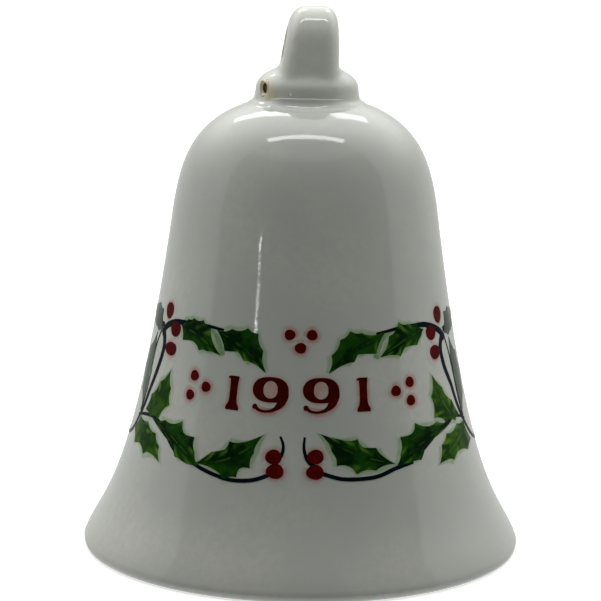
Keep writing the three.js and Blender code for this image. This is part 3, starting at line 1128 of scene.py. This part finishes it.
LEFT_SPRIG = Sprig(
    side="left",
    leaves=(
        Leaf((-53, 33.2), (-31.5, 30.3), ((-49.5, 34.2), (-46, 34.5), (-41, 34.5), (-37, 33.6)),
             ((-51, 31.3), (-46, 31.5), (-41.5, 30.4), (-37.5, 30.5)), LeafTone.DEEP),
        Leaf((-34, 33.5), (-13, 28.5), ((-27.5, 33.9), (-21, 34.2), (-16.8, 33.6), (-14.5, 31.4)),
             ((-30, 30.9), (-24.5, 31.0), (-21.8, 29.9), (-16.8, 29.5)), LeafTone.DEEP),
        Leaf((-64, 20.0), (-55.3, 26.9), ((-68.5, 20.6), (-66.0, 22.9), (-61.2, 25.0)),
             ((-57.5, 20.1), (-52.4, 22.4), (-53.2, 24.6)), LeafTone.FRESH),
        Leaf((-62, 20.1), (-34.5, 15.6),
             ((-53, 20.4), (-44, 20.9), (-42.6, 19.4), (-37.6, 19.2), (-36.6, 17.2)),
             ((-50, 18.0), (-46.4, 17.2), (-44.6, 16.1), (-39, 15.6)), LeafTone.DEEP),
        Leaf((-72, 19.4), (-51.6, 14.9), ((-64, 19.3), (-57, 18.3), (-53.4, 16.8)),
             ((-76.5, 17.6), (-71.4, 15.7), (-67, 16.1), (-62, 15.0), (-57.5, 15.5)), LeafTone.FRESH),
        Leaf((-36, 15.9), (-12.6, 20.6), ((-30.3, 17.7), (-25.8, 18.2), (-24.2, 19.4), (-18, 19.6)),
             ((-24.5, 14.5), (-20.5, 14.9), (-19.6, 16.1), (-16.2, 16.2), (-15.4, 18.2)), LeafTone.DEEP),
        Leaf((-67, 31.6), (-86, 33.4), ((-70, 34.4), (-76, 35.0), (-81, 34.6)),
             ((-72, 31.2), (-77, 31.6), (-82, 31.8)), LeafTone.SIDE),
        Leaf((-74, 20.8), (-73, 31.0), ((-80, 22.6), (-85, 25.6), (-81, 28.6)),
             ((-71.5, 22.8), (-71.0, 25.6), (-71.4, 28.4)), LeafTone.SIDE),
    ),
    berries=(
        Berry((-63.4, 34.6), 1.15, 1.12),
        Berry((-56.6, 32.45), 1.3, 1.02),
        Berry((-58.0, 29.7), 1.5, 0.9),
        Berry((-9.0, 17.85), 1.0, 0.95),
        Berry((-8.3, 16.05), 1.06, 0.95),
        Berry((-41.8, 27.1), 0.72, 0.7),
        Berry((-36.0, 25.9), 0.72, 0.68),
        Berry((-42.7, 24.5), 0.7, 0.68),
    ),
    stems=(
        Stroke(((-67, 31.2), (-64, 32.4), (-58, 33.3), (-52, 33.6),
                (-45, 33.7), (-38, 33.8), (-31, 33.6)), 0.5, 0.16),
        Stroke(((-66.5, 32.2), (-63.4, 29.8), (-65.4, 26.6), (-69, 23.2),
                (-72, 20.4), (-77, 17.6), (-83, 16.2), (-90.5, 15.7)), 0.5, 0.24),
        Stroke(((-68.5, 31.6), (-71.4, 29.2), (-72.2, 25.8), (-72.6, 22.6), (-74, 20.0)), 0.14, 0.22),
        Stroke(((-75, 19.4), (-68, 20.0), (-60, 20.2), (-53, 19.3),
                (-47, 17.4), (-41, 16.1), (-36, 15.9)), 0.2, 0.3),
        Stroke(((-38, 16.1), (-33, 15.4), (-27, 14.8), (-22, 14.5),
                (-16, 14.7), (-11.5, 15.3), (-9, 16.0)), 0.24, 0.27),
        Stroke(((-8.6, 16.9), (-6.4, 18.2), (-6.0, 19.4), (-7.1, 20.5)), 0.28, 0.14),
        Stroke(((-66.5, 32.4), (-73, 32.6), (-82, 32.9), (-91, 33.6)), 0.34, 0.24),
    ),
    streak=Stroke(((-38.2, 33.9), (-34.6, 32.9), (-32.4, 31.7), (-30.8, 30.3)), 0.24, 0.46),
)

RIGHT_SPRIG = Sprig(
    side="right",
    leaves=(
        Leaf((51.5, 33.2), (29, 30.4), ((48, 34.1), (43, 34.3), (38.5, 34.7), (33.4, 33.0)),
             ((50, 32.4), (47, 31.3), (40.4, 31.2), (38, 30.2)), LeafTone.DEEP),
        Leaf((32, 33.6), (9, 28.6), ((22, 33.8), (17.5, 34.1), (13.6, 33.0), (10.2, 31.0)),
             ((27.6, 30.9), (20, 31.0), (18.6, 30.0), (13.6, 29.6)), LeafTone.DEEP),
        Leaf((64.5, 20.0), (53.3, 26.9), ((57.5, 20.3), (51.0, 21.3), (51.0, 24.2)),
             ((68.5, 20.6), (64.5, 22.8), (58.6, 25.0)), LeafTone.FRESH),
        Leaf((62, 20.3), (31.3, 16.1), ((52, 20.8), (41, 21.3), (39.6, 20.1), (34, 19.8), (33.4, 17.6)),
             ((50, 18.9), (43.4, 17.5), (41.5, 16.4), (36.5, 16.3)), LeafTone.DEEP),
        Leaf((72, 19.5), (49.5, 15.3), ((65, 19.6), (56.4, 18.9), (52.4, 17.6)),
             ((76, 16.5), (70, 15.6), (63.4, 16.1), (58, 15.2), (53.5, 15.5)), LeafTone.FRESH),
        Leaf((31, 16.5), (6, 20.9), ((27, 17.6), (24.8, 18.8), (20.2, 19.0), (18.4, 20.1), (12, 20.2)),
             ((24, 15.9), (17.4, 15.6), (14.8, 16.7), (11, 16.8), (9.6, 18.6)), LeafTone.DEEP),
        Leaf((67, 31.8), (86, 33.4), ((70, 34.6), (76, 35.0), (81, 34.6)),
             ((72, 31.2), (77, 31.6), (82, 31.8)), LeafTone.SIDE),
        Leaf((74, 20.8), (72, 31.0), ((72, 22.8), (70.6, 25.6), (70.4, 28.4)),
             ((80, 22.6), (84, 25.6), (80, 28.6)), LeafTone.SIDE),
    ),
    berries=(
        Berry((63.2, 34.6), 1.15, 1.15),
        Berry((56.4, 32.5), 1.25, 1.0),
        Berry((57.6, 29.8), 1.3, 0.95),
        Berry((4.4, 18.0), 1.0, 0.92),
        Berry((4.2, 16.05), 1.04, 0.94),
        Berry((41.0, 26.7), 0.72, 0.7),
        Berry((34.5, 25.8), 0.76, 0.7),
        Berry((40.6, 24.3), 0.72, 0.7),
    ),
    stems=(
        Stroke(((66.5, 31.2), (63.4, 32.3), (58, 33.2), (52, 33.8),
                (45, 33.9), (38, 33.9), (28, 33.5)), 0.5, 0.16),
        Stroke(((65.5, 32.0), (62, 30.2), (63, 27.6), (66.5, 24.8),
                (69.4, 21.6), (75, 18.3), (82, 16.3), (90.5, 15.7)), 0.5, 0.24),
        Stroke(((66.5, 31.7), (69.4, 29.0), (70.8, 25.8), (71.6, 22.6), (73, 20.0)), 0.14, 0.22),
        Stroke(((74, 19.6), (68, 20.4), (61, 20.5), (53, 19.7),
                (47, 18.5), (41, 17.2), (36.4, 16.35)), 0.18, 0.2),
        Stroke(((38, 16.4), (31, 15.9), (25, 15.2), (20, 15.0),
                (13, 15.1), (8.4, 15.6), (5, 16.1)), 0.26, 0.26),
        Stroke(((4.4, 16.7), (1.9, 17.5), (0.7, 19.0), (0.9, 20.5)), 0.28, 0.14),
        Stroke(((66.5, 32.4), (73, 32.6), (82, 32.9), (91, 33.6)), 0.34, 0.24),
    ),
    streak=Stroke(((34.8, 33.8), (31.0, 32.9), (28.8, 31.7), (27.2, 30.3)), 0.24, 0.46),
)

MIDDLE_BERRIES = (
    Berry((-5.0, 33.65), 0.76, 0.68),
    Berry((-1.0, 31.95), 0.8, 0.7),
    Berry((3.2, 33.65), 0.76, 0.68),
)


@dataclass(frozen=True)
class NumeralCut:
    """The cut of the plain upright numerals, in millimetres."""

    outer: Point = (2.42, 1.64)
    counter: Point = (0.94, 1.14)
    tail: tuple[Point, ...] = ((1.68, 0.1), (1.68, -0.9), (1.34, -1.85), (0.5, -2.58), (-0.5, -2.82),
                               (-1.35, -2.7), (-1.98, -2.26))
    tail_widths: tuple[float, ...] = (0.74, 0.74, 0.5, 0.26, 0.16, 0.17, 0.26)
    tail_drop: float = 0.34
    stem_widths: tuple[float, ...] = (0.95, 0.9, 0.64, 0.55, 0.53, 0.53, 0.53, 0.54, 0.56, 0.6, 0.66)
    flag: tuple[Point, ...] = ((-0.9, -0.24), (-0.7, -0.2), (-0.3, -0.16))
    flag_widths: Point = (0.13, 0.16)
    one_height: float = 4.42
    one_slant: float = 0.09  # how far the foot of a one stands to the left of its head


@dataclass
class HollyTransfer:
    """The fired transfer: a holly sprig on either side, front and back, and the year in front."""

    body: BellBody
    per_degree: float = 0.38  # millimetres of the flat transfer to a degree round the body
    lift: float = 0.02
    layer: float = 0.01
    film: float = 0.07
    margin_dip: float = 0.13
    leaf_cells: Point = (56, 12)
    leaf_bleed: float = 0.75
    spot_bleed: float = 0.85
    year_bleed: float = 0.75
    bowl_reach: float = 0.7
    cut: NumeralCut = NumeralCut()
    one_places: tuple[Point, ...] = ((-24.5, 27.85), (21.6, 27.98))
    nine_places: tuple[Point, ...] = ((-11.2, 28.08), (6.4, 28.12))

    def lay(self, piece: bpy.types.Object, centre: float = 0.0) -> bpy.types.Object:
        """Wrap a flat sheet round the body and give it the film's thickness.

        Args:
            piece: A sheet in the XY plane, X in millimetres across and Y in millimetres of height.
            centre: Degrees that the sheet is carried round the body.

        Returns:
            The same piece, laid on.
        """
        move_points(piece, lambda p: self.body.wrap(p.x / self.per_degree + centre, p.y, self.lift))
        activate(piece)
        bpy.ops.object.mode_set(mode="EDIT")
        bpy.ops.mesh.select_all(action="SELECT")
        bpy.ops.mesh.remove_doubles(threshold=MERGE)
        bpy.ops.object.mode_set(mode="OBJECT")
        outward = sum(face.area * face.normal.xy.dot(face.center.xy) for face in piece.data.polygons)
        if outward < 0:
            bpy.ops.object.mode_set(mode="EDIT")
            bpy.ops.mesh.select_all(action="SELECT")
            bpy.ops.mesh.flip_normals()
            bpy.ops.object.mode_set(mode="OBJECT")
        modify(piece, "SOLIDIFY", thickness=self.film, offset=-1.0)
        return piece

    def sheet(self, name: str, cells: Point, place: Callable[[float, float], np.ndarray]) -> bpy.types.Object:
        """Shape a grid by a rule for each of its points.

        Args:
            name: Name of the piece.
            cells: Cells along and across.
            place: Gives the flat place of a point from its shares along and across.

        Returns:
            The flat sheet, with its map kept.
        """
        deselect()
        bpy.ops.mesh.primitive_grid_add(x_subdivisions=int(cells[0]), y_subdivisions=int(cells[1]), size=1.0)
        piece = fresh(name)
        move_points(piece, lambda p: Vector((*place(p.x + 0.5, p.y + 0.5), 0.0)))
        return piece

    def flat(self, point: Point) -> np.ndarray:
        """Bring a point of the pattern (degrees, height) to the flat transfer in millimetres."""
        return np.array([point[0] * self.per_degree, point[1]])

    def margin(self, leaf: Leaf, spines: Sequence[Point], grow: float) -> np.ndarray:
        """Draw one margin of a leaf: hollow stretches from spine to spine.

        Args:
            leaf: The leaf.
            spines: The margin's spines from base to tip.
            grow: Millimetres to widen the leaf by.

        Returns:
            The points of the margin, base and tip included.
        """
        corners = [self.flat(p) for p in (leaf.base, *spines, leaf.tip)]
        centre = (corners[0] + corners[-1]) / 2
        line = []
        for start, end in zip(corners, corners[1:]):
            halfway = (start + end) / 2
            inward = centre - halfway
            inward /= max(float(np.linalg.norm(inward)), 1e-6)
            dip = halfway + inward * self.margin_dip * 2 * float(np.linalg.norm(end - start))
            for t in np.arange(6) / 6:
                line.append((1 - t) ** 2 * start + 2 * t * (1 - t) * dip + t * t * end)
        line.append(corners[-1])
        points = np.array(line)
        if grow == 0:
            return points
        away = points - centre
        return points + grow * away / np.maximum(np.linalg.norm(away, axis=1), 1e-6)[:, None]

    def leaf(self, leaf: Leaf, centre: float, grow: float = 0.0) -> bpy.types.Object:
        """Shape one leaf, or the wider bleed under it, between its margins and a smooth midrib."""
        upper = self.margin(leaf, leaf.upper, grow)
        lower = self.margin(leaf, leaf.lower, grow)
        thirds = [(along(upper, share) + along(lower, share)) / 2 for share in (1 / 3, 2 / 3)]
        rib = np.array(cubic(tuple(upper[0]), tuple(thirds[0]), tuple(thirds[1]), tuple(upper[-1]), 24))

        def place(u: float, v: float) -> np.ndarray:
            """Run from the lower margin over the midrib to the upper margin."""
            middle = along(rib, u)
            edge = along(lower, u) if v < 0.5 else along(upper, u)
            return middle + (edge - middle) * abs(2 * v - 1)

        return self.lay(self.sheet("leaf", self.leaf_cells, place), centre)

    def band(self, name: str, line: np.ndarray, widths: Sequence[float], centre: float) -> bpy.types.Object:
        """Draw a brush stroke: a line with a changing half width.

        Args:
            name: Name of the piece.
            line: The stroke's middle line on the flat transfer.
            widths: Half widths, spread evenly along the line.
            centre: Degrees that the stroke is carried round the body.

        Returns:
            The stroke, laid on.
        """
        stops = np.linspace(0, 1, len(widths))
        nudge = 0.004

        def place(u: float, v: float) -> np.ndarray:
            """Step to the side of the middle line by the half width there."""
            ahead, behind = along(line, min(u + nudge, 1.0)), along(line, max(u - nudge, 0.0))
            heading = (ahead - behind) / max(float(np.linalg.norm(ahead - behind)), 1e-9)
            side = np.array([-heading[1], heading[0]])
            return along(line, u) + side * (2 * v - 1) * float(np.interp(u, stops, widths))

        cells = (max(12, len(line)), 4)
        return self.lay(self.sheet(name, cells, place), centre)

    def stroke(self, stroke: Stroke, centre: float) -> bpy.types.Object:
        """Draw one stem or streak."""
        line = smooth_path([tuple(self.flat(knot)) for knot in stroke.knots], 6)
        widths = (stroke.start, (stroke.start + stroke.end) / 2, stroke.end)
        return self.band("stroke", line, widths, centre)

    def disc(self, berry: Berry, centre: float, grow: float = 0.0) -> bpy.types.Object:
        """Lay on one berry, or the wider bleed under it: a round spot cut as a fan of triangles."""
        deselect()
        bpy.ops.mesh.primitive_circle_add(vertices=40, radius=1.0, fill_type="TRIFAN")
        spot = fresh("berry")
        middle = self.flat(berry.place)
        across, up = berry.across + grow, berry.up + grow

        def place(p: Vector) -> Vector:
            """Set the spot's size and place, a touch uneven."""
            wobble = 1 + 0.035 * math.sin(3 * math.atan2(p.y, p.x) + berry.place[0])
            return Vector((middle[0] + p.x * across * wobble, middle[1] + p.y * up * wobble, 0))

        move_points(spot, place)
        return self.lay(spot, centre)

    def layer_up(
        self,
        name: str,
        layer: int,
        parts: Callable[[], list[bpy.types.Object]],
        ink: bpy.types.Material | None,
    ) -> bpy.types.Object:
        """Print one layer of the transfer as one piece.

        Args:
            name: Name of the piece.
            layer: How many layers lie under it.
            parts: Makes the parts of the layer.
            ink: The layer's ink, or None where each part has its own.

        Returns:
            The finished piece.
        """
        ground = self.lift
        self.lift = ground + layer * self.layer
        piece = joined(name, parts())
        self.lift = ground
        if ink is not None:
            piece.data.materials.clear()
            piece.data.materials.append(ink)
        return finish_piece(piece, "bell", 30.0)

    def inked_leaf(self, leaf: Leaf, centre: float) -> bpy.types.Object:
        """Lay on one leaf in its own green."""
        piece = self.leaf(leaf, centre)
        piece.data.materials.append(self.leaf_inks[leaf.tone])
        return piece

    def sprig(self, sprig: Sprig, face: str, centre: float) -> list[bpy.types.Object]:
        """Build one sprig, from the bleeds in the glaze up to the berries.

        Args:
            sprig: The sprig's pattern.
            face: front or back, for the names.
            centre: Degrees that it is carried round the body.

        Returns:
            Its pieces.
        """
        end = f"_{face}_{sprig.side}"
        dark = [leaf for leaf in sprig.leaves if leaf.tone is not LeafTone.SIDE]
        layers = (
            ("leaf_bleed", 0, lambda: [self.leaf(x, centre, self.leaf_bleed) for x in dark],
             self.leaf_bleed_ink),
            ("berry_bleed", 0, lambda: [self.disc(x, centre, self.spot_bleed) for x in sprig.berries],
             self.spot_bleed_ink),
            ("streak", 1, lambda: [self.stroke(sprig.streak, centre)], self.streak_ink),
            ("stems", 2, lambda: [self.stroke(x, centre) for x in sprig.stems], self.stem_ink),
            ("leaves", 3, lambda: [self.inked_leaf(x, centre) for x in sprig.leaves], None),
            ("berries", 4, lambda: [self.disc(x, centre) for x in sprig.berries], self.berry_ink),
        )
        return self.print_layers(end, layers)

    def print_layers(self, end: str, layers: Sequence[tuple[Any, ...]]) -> list[bpy.types.Object]:
        """Print several layers, each given by its name before the end, its depth, its parts and its ink."""
        return [self.layer_up(name + end, depth, parts, ink) for name, depth, parts, ink in layers]

    def numeral_one(self, place: Point, grow: float = 0.0) -> list[bpy.types.Object]:
        """Draw a one at the middle of its head: an upright stroke on a slab foot, with a flag at its left."""
        x, top = self.flat(place)
        height, slant = self.cut.one_height, self.cut.one_slant
        stroke = np.array([(x - slant * (1 - t), top - height * (1 - t)) for t in np.linspace(0, 1, 31)])
        flag = np.array([(x + dx, top + dy) for dx, dy in self.cut.flag])
        one = self.band("one", stroke, [w + grow for w in self.cut.stem_widths], 0.0)
        return [one] if grow > 0 else [one, self.band("flag", flag, self.cut.flag_widths, 0.0)]

    def numeral_nine(self, place: Point, grow: float = 0.0) -> list[bpy.types.Object]:
        """Draw a nine at the top of its bowl: a wide bowl, a tail that sweeps under it, and its drop."""
        x, top = self.flat(place)
        cut = self.cut
        y = top - cut.outer[1]
        middle = [(o + c) / 2 for o, c in zip(cut.outer, cut.counter)]
        half_side, half_top = ((o - c) / 2 for o, c in zip(cut.outer, cut.counter))
        angles = np.linspace(0, FULL_TURN + 0.12, 61)
        bowl = np.array([(x + middle[0] * math.cos(a), y + middle[1] * math.sin(a)) for a in angles])
        bowl_widths = [half_top + (half_side - half_top) * math.cos(a) ** 2 for a in angles]
        tail = smooth_path([(x + dx, y + dy) for dx, dy in cut.tail], 8)
        if grow > 0:
            end = tail[-1] + 0.45 * (tail[-1] - tail[-9])
            return [self.band("tail", np.array([*tail, end]), [w + grow for w in cut.tail_widths], 0.0)]
        drop_place = ((x + cut.tail[-1][0]) / self.per_degree, y + cut.tail[-1][1])
        return [
            self.band("bowl", bowl, bowl_widths, 0.0),
            self.band("tail", tail, cut.tail_widths, 0.0),
            self.disc(Berry(drop_place, cut.tail_drop, cut.tail_drop), 0.0),
        ]

    def bowl_bleed(self, place: Point, grow: float) -> bpy.types.Object:
        """Draw the bleed of a nine's bowl, which fills its counter and fades outside it.

        Args:
            place: The top of the bowl (degrees, height).
            grow: Millimetres that it reaches beyond the bowl.

        Returns:
            The bleed, laid on.
        """
        x, top = self.flat(place)
        y = top - self.cut.outer[1]
        reach = np.array(self.cut.outer) + grow

        def spot(u: float, v: float) -> np.ndarray:
            """Go round the bowl with u and out from its middle with v."""
            angle = FULL_TURN * u
            return np.array([x, y]) + v * reach * np.array([math.cos(angle), math.sin(angle)])

        bleed = self.lay(self.sheet("bowl_bleed", (48, 10), spot))
        for corner in bleed.data.uv_layers.active.data:
            corner.uv.y = (1 + corner.uv.y) / 2
        return bleed

    def numerals(self, grow: float = 0.0) -> list[bpy.types.Object]:
        """Draw the year in plain upright numerals."""
        ones = [self.numeral_one(place, grow) for place in self.one_places]
        nines = [self.numeral_nine(place, grow) for place in self.nine_places]
        return [part for numeral in (*ones, *nines) for part in numeral]

    def mix_inks(self) -> None:
        """Mix the transfer's inks."""
        blush, leaf_blush = paint(188, 140, 132), paint(142, 172, 126)
        self.leaf_inks = {tone: LeafInk(tone).make("holly_" + tone.name.lower()) for tone in LeafTone}
        self.stem_ink = FiredInk(paint(6, 20, 22), paint(14, 24, 42)).make("stem_ink")
        self.streak_ink = FiredInk(paint(116, 148, 106), paint(146, 168, 138)).make("streak_ink")
        self.berry_ink = FiredInk(paint(76, 10, 9), paint(98, 14, 13)).make("berry_ink")
        self.year_ink = FiredInk(paint(62, 8, 7), paint(78, 13, 11)).make("year_ink")
        self.leaf_bleed_ink = ColourBleed(leaf_blush, BleedShape.LEAF, 0.76).make("leaf_bleed_glaze")
        self.spot_bleed_ink = ColourBleed(blush, BleedShape.SPOT, 0.5).make("berry_bleed_glaze")
        self.year_bleed_ink = ColourBleed(blush, BleedShape.LEAF, 0.45).make("year_bleed_glaze")
        self.bowl_bleed_ink = ColourBleed(blush, BleedShape.STROKE, 0.66, 0.75).make("bowl_bleed_glaze")

    def build(self) -> list[bpy.types.Object]:
        """Build the front with its year and the back without one."""
        self.mix_inks()
        pieces = []
        for face, centre in (("front", 0.0), ("back", 180.0)):
            for sprig in (LEFT_SPRIG, RIGHT_SPRIG):
                pieces += self.sprig(sprig, face, centre)
            for name, layer, grow, ink in (
                ("berry_bleed", 0, self.spot_bleed, self.spot_bleed_ink),
                ("berries", 4, 0.0, self.berry_ink),
            ):
                spots = [(x, centre, grow) for x in MIDDLE_BERRIES]
                middle = f"{name}_{face}_middle"
                pieces.append(self.layer_up(middle, layer, lambda s=spots: [self.disc(*a) for a in s], ink))
        bowls, reach = self.nine_places, self.bowl_reach
        pieces += self.print_layers("", (
            ("year_bleed", 0, lambda: self.numerals(self.year_bleed), self.year_bleed_ink),
            ("bowl_bleed", 1, lambda: [self.bowl_bleed(x, reach) for x in bowls], self.bowl_bleed_ink),
            ("year_numerals", 3, self.numerals, self.year_ink),
        ))
        return pieces


# ---------------------------------------------------------------- studio


@dataclass
class Studio:
    """A white light tent, open towards the camera, so that the bell's front reflects a dark room."""

    camera_place: Point3 = (-0.00047, -0.33, 0.0952)
    camera_pitch: float = math.radians(10.42)
    camera_roll: float = math.radians(0.86)
    lens: float = 143.8
    opening: float = math.radians(77.0)  # half the width of the tent's opening, seen from the bell
    tube_ends: tuple[Point, Point] = ((-38.0, 0.264), (-36.0, 0.285))  # degrees round the bell, height
    side_light: float = 0.52
    low_light: float = 0.16
    back_light: float = 1.42
    strip_light: float = 0.45
    room_light: float = 0.12
    table_light: float = 1.1

    def camera(self) -> None:
        """Set the camera up at the front, a little above the bell."""
        bpy.ops.object.camera_add(location=self.camera_place)
        camera = bpy.context.object
        tilt = Matrix.Rotation(math.pi / 2 - self.camera_pitch, 3, "X")
        roll = Matrix.Rotation(self.camera_roll, 3, "Z")
        camera.rotation_euler = (tilt @ roll).to_euler()
        camera.data.lens = self.lens
        camera.data.sensor_width = 36.0
        camera.data.clip_start = 0.01
        bpy.context.scene.camera = camera

    def floor(self) -> None:
        """Lay a plain pale floor that the bell shades but that throws no light back at it."""
        deselect()
        bpy.ops.mesh.primitive_plane_add(size=8.0, location=(0, 0, 0))
        floor = fresh("floor")
        nodes = Nodes("floor_paper")
        nodes.shine(Base_Color=(0.86, 0.86, 0.86, 1), Roughness=0.9)
        nodes.shine(Emission_Color=(1, 1, 1, 1), Emission_Strength=0.42)
        floor.data.materials.append(nodes.material)
        floor.visible_diffuse = False
        floor.visible_glossy = False

    def tent(self) -> None:
        """Light the scene all round, bright at the sides, the back and the roof, dim towards the camera."""
        world = bpy.data.worlds.new("light_tent")
        bpy.context.scene.world = world
        world.use_nodes = True
        tree = world.node_tree
        tree.nodes.clear()
        place = tree.nodes.new("ShaderNodeTexCoord")
        split = tree.nodes.new("ShaderNodeSeparateXYZ")
        tree.links.new(place.outputs["Generated"], split.inputs[0])

        def calc(operation: str, *values: Any) -> bpy.types.NodeSocket:
            """Add a calculation to the world."""
            node = tree.nodes.new("ShaderNodeMath")
            node.operation = operation
            for i, value in enumerate(values):
                if isinstance(value, bpy.types.NodeSocket):
                    tree.links.new(value, node.inputs[i])
                else:
                    node.inputs[i].default_value = value
            return node.outputs[0]

        def ramp(
            value: bpy.types.NodeSocket, low: float, high: float, start: float, end: float
        ) -> bpy.types.NodeSocket:
            """Map a stretch of values onto another one with soft ends."""
            node = tree.nodes.new("ShaderNodeMapRange")
            node.interpolation_type = "SMOOTHSTEP"
            tree.links.new(value, node.inputs["Value"])
            for key, number in zip(("From Min", "From Max", "To Min", "To Max"), (low, high, start, end)):
                node.inputs[key].default_value = number
            return node.outputs["Result"]

        x, y, z = split.outputs
        level = calc("SQRT", calc("ADD", calc("MULTIPLY", x, x), calc("MULTIPLY", y, y)))
        forward = calc("DIVIDE", calc("MULTIPLY", y, -1.0), calc("MAXIMUM", level, 1e-4))
        edge = math.cos(self.opening)
        in_tent = ramp(forward, edge + 0.02, edge - 0.02, 0.0, 1.0)
        high = calc("MULTIPLY", ramp(z, 0.15, 0.6, 0.0, 1.0), ramp(forward, 0.2, -0.75, 0.3, 1.0))
        walls = calc("MULTIPLY_ADD", high, self.back_light, self.side_light)
        walls = calc("ADD", walls, ramp(z, 0.45, 0.2, 0.0, self.low_light))
        strip = calc("MULTIPLY", ramp(z, 0.74, 0.8, 0.0, 1.0), ramp(z, 0.94, 0.9, 0.0, 1.0))
        room = calc("MULTIPLY_ADD", strip, self.strip_light, self.room_light)
        room = calc("ADD", room, ramp(z, 0.9, 0.97, 0.0, 0.12))
        open_side = calc("MULTIPLY", calc("SUBTRACT", 1.0, in_tent), room)
        round_about = calc("ADD", open_side, calc("MULTIPLY", in_tent, walls))
        below = ramp(z, -0.4, -0.6, 0.0, 1.0)
        glow = calc("ADD", calc("MULTIPLY", round_about, calc("SUBTRACT", 1.0, below)),
                    calc("MULTIPLY", below, self.table_light))
        lit = tree.nodes.new("ShaderNodeBackground")
        tree.links.new(glow, lit.inputs["Strength"])
        lit.inputs["Color"].default_value = (1.0, 1.0, 0.985, 1)
        paper = tree.nodes.new("ShaderNodeBackground")
        paper.inputs["Color"].default_value = (1.0, 1.0, 1.0, 1)
        seen = tree.nodes.new("ShaderNodeLightPath").outputs["Is Camera Ray"]
        choose = tree.nodes.new("ShaderNodeMixShader")
        for socket, source in zip(choose.inputs, (seen, lit.outputs[0], paper.outputs[0])):
            tree.links.new(source, socket)
        output = tree.nodes.new("ShaderNodeOutputWorld")
        tree.links.new(choose.outputs[0], output.inputs["Surface"])

    def lamp(self, name: str, start: Point3, end: Point3, width: float, glow: float) -> None:
        """Hang a long lamp that faces the bell.

        Args:
            name: Name of the lamp.
            start: The middle of its one end.
            end: The middle of its other end.
            width: Its size across.
            glow: How bright its face is, in times the tent's unit.
        """
        first, last = Vector(start), Vector(end)
        place = (first + last) / 2
        bpy.ops.object.light_add(type="AREA", location=place)
        lamp = bpy.context.object
        lamp.name = name
        length = (last - first).length
        lamp.data.shape = "RECTANGLE"
        lamp.data.size = length
        lamp.data.size_y = width
        lamp.data.energy = glow * math.pi * length * width
        side = (last - first).normalized()
        to_bell = Vector((0, 0, 0.05)) - place
        back = -(to_bell - side * to_bell.dot(side)).normalized()
        lamp.rotation_euler = Matrix((side, back.cross(side), back)).transposed().to_euler()

    def lamps(self) -> None:
        """Hang the strip over the bell, the two panels behind it and the far narrow one at its left front."""
        self.lamp("roof_strip", (-0.205, -0.03, 0.5), (0.195, -0.03, 0.5), width=0.05, glow=8.0)
        self.lamp("panel_left", (-0.03, 0.34, 0.5), (-0.32, 0.585, 0.5), width=0.1, glow=3.5)
        self.lamp("panel_right", (0.087, 0.345, 0.5), (0.24, 0.475, 0.5), width=0.1, glow=3.5)
        tube = [(2 * math.sin(math.radians(a)), -2 * math.cos(math.radians(a)), z) for a, z in self.tube_ends]
        self.lamp("front_tube", tube[0], tube[1], width=0.009, glow=36.0)

    def build(self) -> None:
        """Set up camera, floor and light."""
        self.camera()
        self.floor()
        self.tent()
        self.lamps()
        bpy.context.scene.view_settings.view_transform = "Standard"


# ---------------------------------------------------------------- assembly


def main() -> None:
    """Build and dress every piece and set up the studio."""
    logging.basicConfig(level=logging.INFO, format="%(name)s: %(message)s")
    sizes = FrameSizes.read(frame["joints"])
    Studio().build()
    body = BellBody(sizes)
    body.build()
    crown = CrownLoop(sizes)
    crown.build()
    crown.luting_slip(body)
    Clapper(sizes).build()
    HollyTransfer(body).build()


if __name__ == "__main__":
    main()
